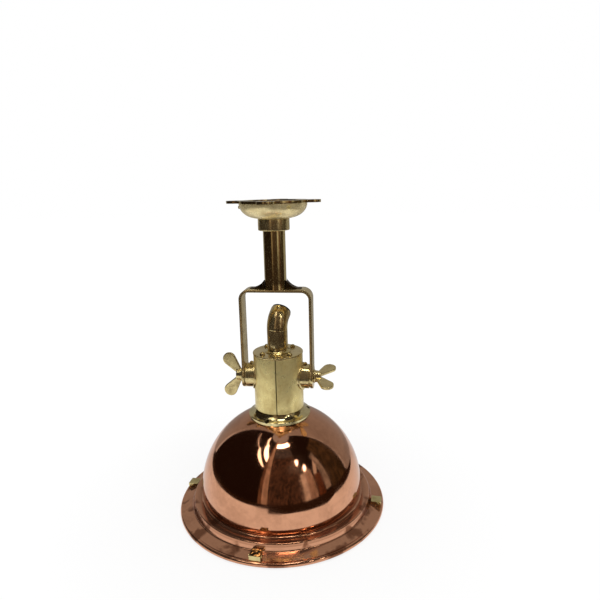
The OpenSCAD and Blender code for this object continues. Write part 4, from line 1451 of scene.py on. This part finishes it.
@dataclass
class Studio:
    """Pale floor, white surroundings, a dark room for the metal to mirror, lamp and camera."""

    camera_place: Place = (110.2, -584.4, 16.0)
    camera_heading: float = 8.0
    camera_pitch: float = 12.486
    camera_roll: float = 1.278
    camera_lens: float = 31.2
    plain_light: float = 0.55
    sky_share: float = 0.5
    zenith_share: float = 0.36
    zenith_ramp: Point = (0.85, 0.97)
    floor_reach: float = 6.0
    floor_tone: float = 0.86
    floor_light: float = 1.04
    shadow_reach: float = 0.6
    shadow_share: float = 0.28
    mirror_loss: float = 0.16
    back_loss: float = 0.34
    back_ramp: Point = (-0.12, 0.3)
    lamp_place: Place = (0.2, -0.5, 1.9)
    lamp_target: Place = (0.0, 0.0, -0.3)
    lamp_size: Point = (1.6, 1.2)
    lamp_power: float = 26.0
    room_r: float = 2.5
    room_middle: float = -0.25
    room_turns: Point = (25.0, -210.0)
    room_rises: Point = (-8.0, 80.0)
    zone_inset: float = 0.1
    strip_inset: float = 0.05
    strip_taper: float = 0.12
    lamp_inset: float = 0.15
    floor_gap: float = 0.001
    floor_past: float = 0.3
    table_edge: tuple[Point, ...] = (
        (-0.66, 0.9), (-0.62, 0.13), (-0.58, -0.28), (-0.27, -0.53), (-0.06, -0.50),
        (-0.03, -0.29), (0.123, -0.26), (0.19, -0.2), (0.235, -0.13), (0.37, -0.09),
        (0.395, 0.06), (0.42, 0.9))
    sheet_x: Point = (-0.69, 0.86)
    sheet_y: float = 0.4
    sheet_top: float = 2.6

    def camera(self) -> None:
        """Sets the camera as it stood for the photograph."""
        data = bpy.data.cameras.new("view_camera")
        data.lens = self.camera_lens
        data.sensor_width = 36.0
        data.clip_start = 0.01
        seat = placed("view_camera", data)
        seat.matrix_world = (
            Matrix.Translation([value * MM for value in self.camera_place])
            @ Matrix.Rotation(math.radians(self.camera_heading), 4, "Z")
            @ Matrix.Rotation(math.radians(90 - self.camera_pitch), 4, "X")
            @ Matrix.Rotation(math.radians(-self.camera_roll), 4, "Z"))
        bpy.context.scene.camera = seat

    @staticmethod
    def rays(bench: Bench) -> tuple[Wire, Wire, Wire]:
        """1 for rays from the camera, from a mirror and through glass, each on its own wire."""
        return tuple(bench.node("ShaderNodeLightPath", None, None, name) for name in
                     ("Is Camera Ray", "Is Glossy Ray", "Is Transmission Ray"))

    def world(self) -> None:
        """Makes surroundings that look white and light the object at a plain level."""
        world = bpy.data.worlds.new("surroundings")
        bpy.context.scene.world = world
        world.use_nodes = True
        bench = Bench(world.node_tree)
        camera, gloss, through = self.rays(bench)
        rise = bench.node("ShaderNodeTexCoord", None, None, "Generated").axis(2)
        sky = self.sky_share - rise.ramp(*self.zenith_ramp) * (self.sky_share - self.zenith_share)
        mirrored = gloss * (1.0 - camera)
        plain = camera.most(through) * (1.0 - self.plain_light) + self.plain_light
        bench.wire_up(world.node_tree.nodes["Background"], {
            "Color": WHITE, "Strength": plain * (1.0 - mirrored) + sky * mirrored})

    def floor(self) -> None:
        """Lays the pale floor, which keeps the object's shadow."""
        reach, height = self.floor_reach, CAD_BOX[0][2]
        mesh = bpy.data.meshes.new("floor")
        mesh.from_pydata([(-reach, -reach, height), (reach, -reach, height),
                          (reach, reach, height), (-reach, reach, height)], [], [(0, 1, 2, 3)])
        floor = placed("floor", mesh)
        material, bench, end = new_material("pale_floor", bare=True)
        place = bench.place()
        far = place.length().ramp(self.shadow_reach * 0.6, self.shadow_reach)
        camera, gloss, through = self.rays(bench)
        behind = place.axis(1).ramp(*self.back_ramp)
        loss = behind * (self.back_loss - self.mirror_loss) + self.mirror_loss
        matt = bench.node("ShaderNodeBsdfDiffuse", None, {"Color": (*[self.floor_tone] * 3, 1.0)})
        white = bench.node("ShaderNodeEmission", None, {
            "Color": WHITE, "Strength": self.floor_light - gloss * loss})
        seen = camera.most(gloss).most(through)
        share = far * self.shadow_share + (1.0 - self.shadow_share)
        bench.wire_up(end, {"Surface": bench.node("ShaderNodeMixShader", None, {
            0: seen * share, 1: matt, 2: white})})
        mesh.materials.append(material)

    @staticmethod
    def glow(name: str, colour: Colour, zone: Zone | None = None,
             strength: float = 1.0) -> bpy.types.Material:
        """Makes a material of a given brightness.

        Args:
            name: Its name.
            colour: Its colour.
            zone: The part of the wall whose upright blotches it has, if any.
            strength: Its brightness where it has no blotches.

        Returns:
            The material.
        """
        material, bench, end = new_material(name, bare=True)
        if zone:
            upright = bench.vector("MULTIPLY", bench.place(), (1.0, 1.0, 0.35))
            blotch = bench.noise(upright, zone.patch_size * 20.0, 4.0, 0.6).ramp(0.35, 0.65)
            strength = blotch * (2.0 * zone.mottle) + (1.0 - zone.mottle)
        bench.wire_up(end, {"Surface": bench.node("ShaderNodeEmission", None, {
            "Color": linear(colour), "Strength": strength})})
        return material

    def card(self, name: str, points: Sequence[Place], faces: Sequence[Sequence[int]],
             material: bpy.types.Material) -> None:
        """Hangs a card that only reflections see.

        Args:
            name: Its name.
            points: Its corners in metres.
            faces: Its faces.
            material: What it shows.
        """
        mesh = bpy.data.meshes.new(name)
        mesh.from_pydata(points, [], faces)
        mesh.materials.append(material)
        card = placed(name, mesh)
        card.visible_camera = False
        card.visible_diffuse = False
        card.visible_shadow = False
        card.visible_transmission = False

    def spot(self, turn: float, rise: float, radius: float) -> Place:
        """A point of the room by its direction and height angle in degrees."""
        a, e = math.radians(turn), math.radians(rise)
        return (radius * math.cos(e) * math.cos(a), radius * math.cos(e) * math.sin(a),
                self.room_middle + radius * math.sin(e))

    def patch(self, name: str, turns: Point, rises: Point, inset: float,
              material: bpy.types.Material) -> None:
        """Hangs a curved card between two directions and two height angles.

        Args:
            name: Its name.
            turns: The two directions in degrees.
            rises: The two height angles in degrees.
            inset: How far inside the room's wall it hangs, in metres.
            material: What it shows.
        """
        across, up = 48, 16
        points = [self.spot(turns[0] + (turns[1] - turns[0]) * i / across,
                            rises[0] + (rises[1] - rises[0]) * j / up, self.room_r - inset)
                  for i in range(across + 1) for j in range(up + 1)]
        faces = [(i * (up + 1) + j, (i + 1) * (up + 1) + j, (i + 1) * (up + 1) + j + 1,
                  i * (up + 1) + j + 1) for i in range(across) for j in range(up)]
        self.card(name, points, faces, material)

    def strip(self, name: str, strip: Strip) -> None:
        """Hangs a narrow card that tapers to both ends."""
        steps = 12
        radius = self.room_r - self.strip_inset
        points = []
        for i in range(steps + 1):
            turn, rise = (a + (b - a) * i / steps for a, b in zip(strip.start, strip.end))
            along = self.strip_taper + (1 - 2 * self.strip_taper) * i / steps
            half = strip.width / 2 * math.sin(math.pi * along) \
                / max(math.cos(math.radians(rise)), 0.2)
            points += [self.spot(turn - half, rise, radius), self.spot(turn + half, rise, radius)]
        faces = [(2 * i, 2 * i + 1, 2 * i + 3, 2 * i + 2) for i in range(steps)]
        self.card(name, points, faces, self.glow(name, strip.colour, strength=strip.strength))

    def room(self) -> None:
        """Builds the dark room and the bright things in it."""
        self.patch("room_wall", self.room_turns, self.room_rises, 0.0,
                   self.glow("room_dark", (30, 19, 12)))
        near = CAD_BOX[0][2] + self.floor_gap
        far = self.room_r + self.floor_past
        inner = [(x, y, near) for x, y in self.table_edge]
        outer = [(x / math.hypot(x, y) * far, y / math.hypot(x, y) * far, near)
                 for x, y in self.table_edge]
        count = len(inner)
        self.card("room_floor", [*inner, *outer],
                  [(i, i + 1, count + i + 1, count + i) for i in range(count - 1)],
                  self.glow("floor_dark", (44, 30, 20)))
        (left, right), y, top = self.sheet_x, self.sheet_y, self.sheet_top
        self.card("back_sheet", [(left, y, near), (right, y, near), (right, y, top),
                                 (left, y, top)], [(0, 1, 2, 3)],
                  self.glow("pale_sheet", (152, 149, 146)))
        for number, zone in enumerate(ZONES):
            self.patch(f"room_zone_{number}", zone.turns, zone.rises, self.zone_inset,
                       self.glow(f"zone_{number}", zone.colour, zone))
        self.patch("room_lamp", (-98.0, -38.0), (72.5, 78.0), self.lamp_inset,
                   self.glow("room_lamp", LAMP_WHITE, strength=11.0))
        for number, strip in enumerate(STRIPS):
            self.strip(f"room_strip_{number}", strip)

    def lamps(self) -> None:
        """Hangs the soft lamp over the object."""
        data = bpy.data.lights.new("soft_lamp", "AREA")
        data.shape = "RECTANGLE"
        data.size, data.size_y = self.lamp_size
        data.energy = self.lamp_power
        lamp = placed("soft_lamp", data)
        lamp.location = self.lamp_place
        lamp.rotation_euler = (Vector(self.lamp_target) - lamp.location).to_track_quat(
            "-Z", "Y").to_euler()
        lamp.visible_glossy = False

    def make(self) -> None:
        """Sets up everything round the object."""
        bpy.context.scene.view_settings.view_transform = "Standard"
        self.camera()
        self.world()
        self.floor()
        self.room()
        self.lamps()


def main() -> None:
    """Builds the studio and the lantern."""
    logging.basicConfig(level=logging.INFO, format="%(message)s")
    Studio().make()
    shop = Workshop(Finishes())
    for assembly in (CeilingFitting(), Stem(), Yoke(), Cap(), CableInlet(), TiltClamps(),
                     CopperShade(), RimLugs(), LampHolder()):
        assembly.make(shop)
    log.info("%d pieces made", shop.pieces)


if __name__ == "__main__":
    main()
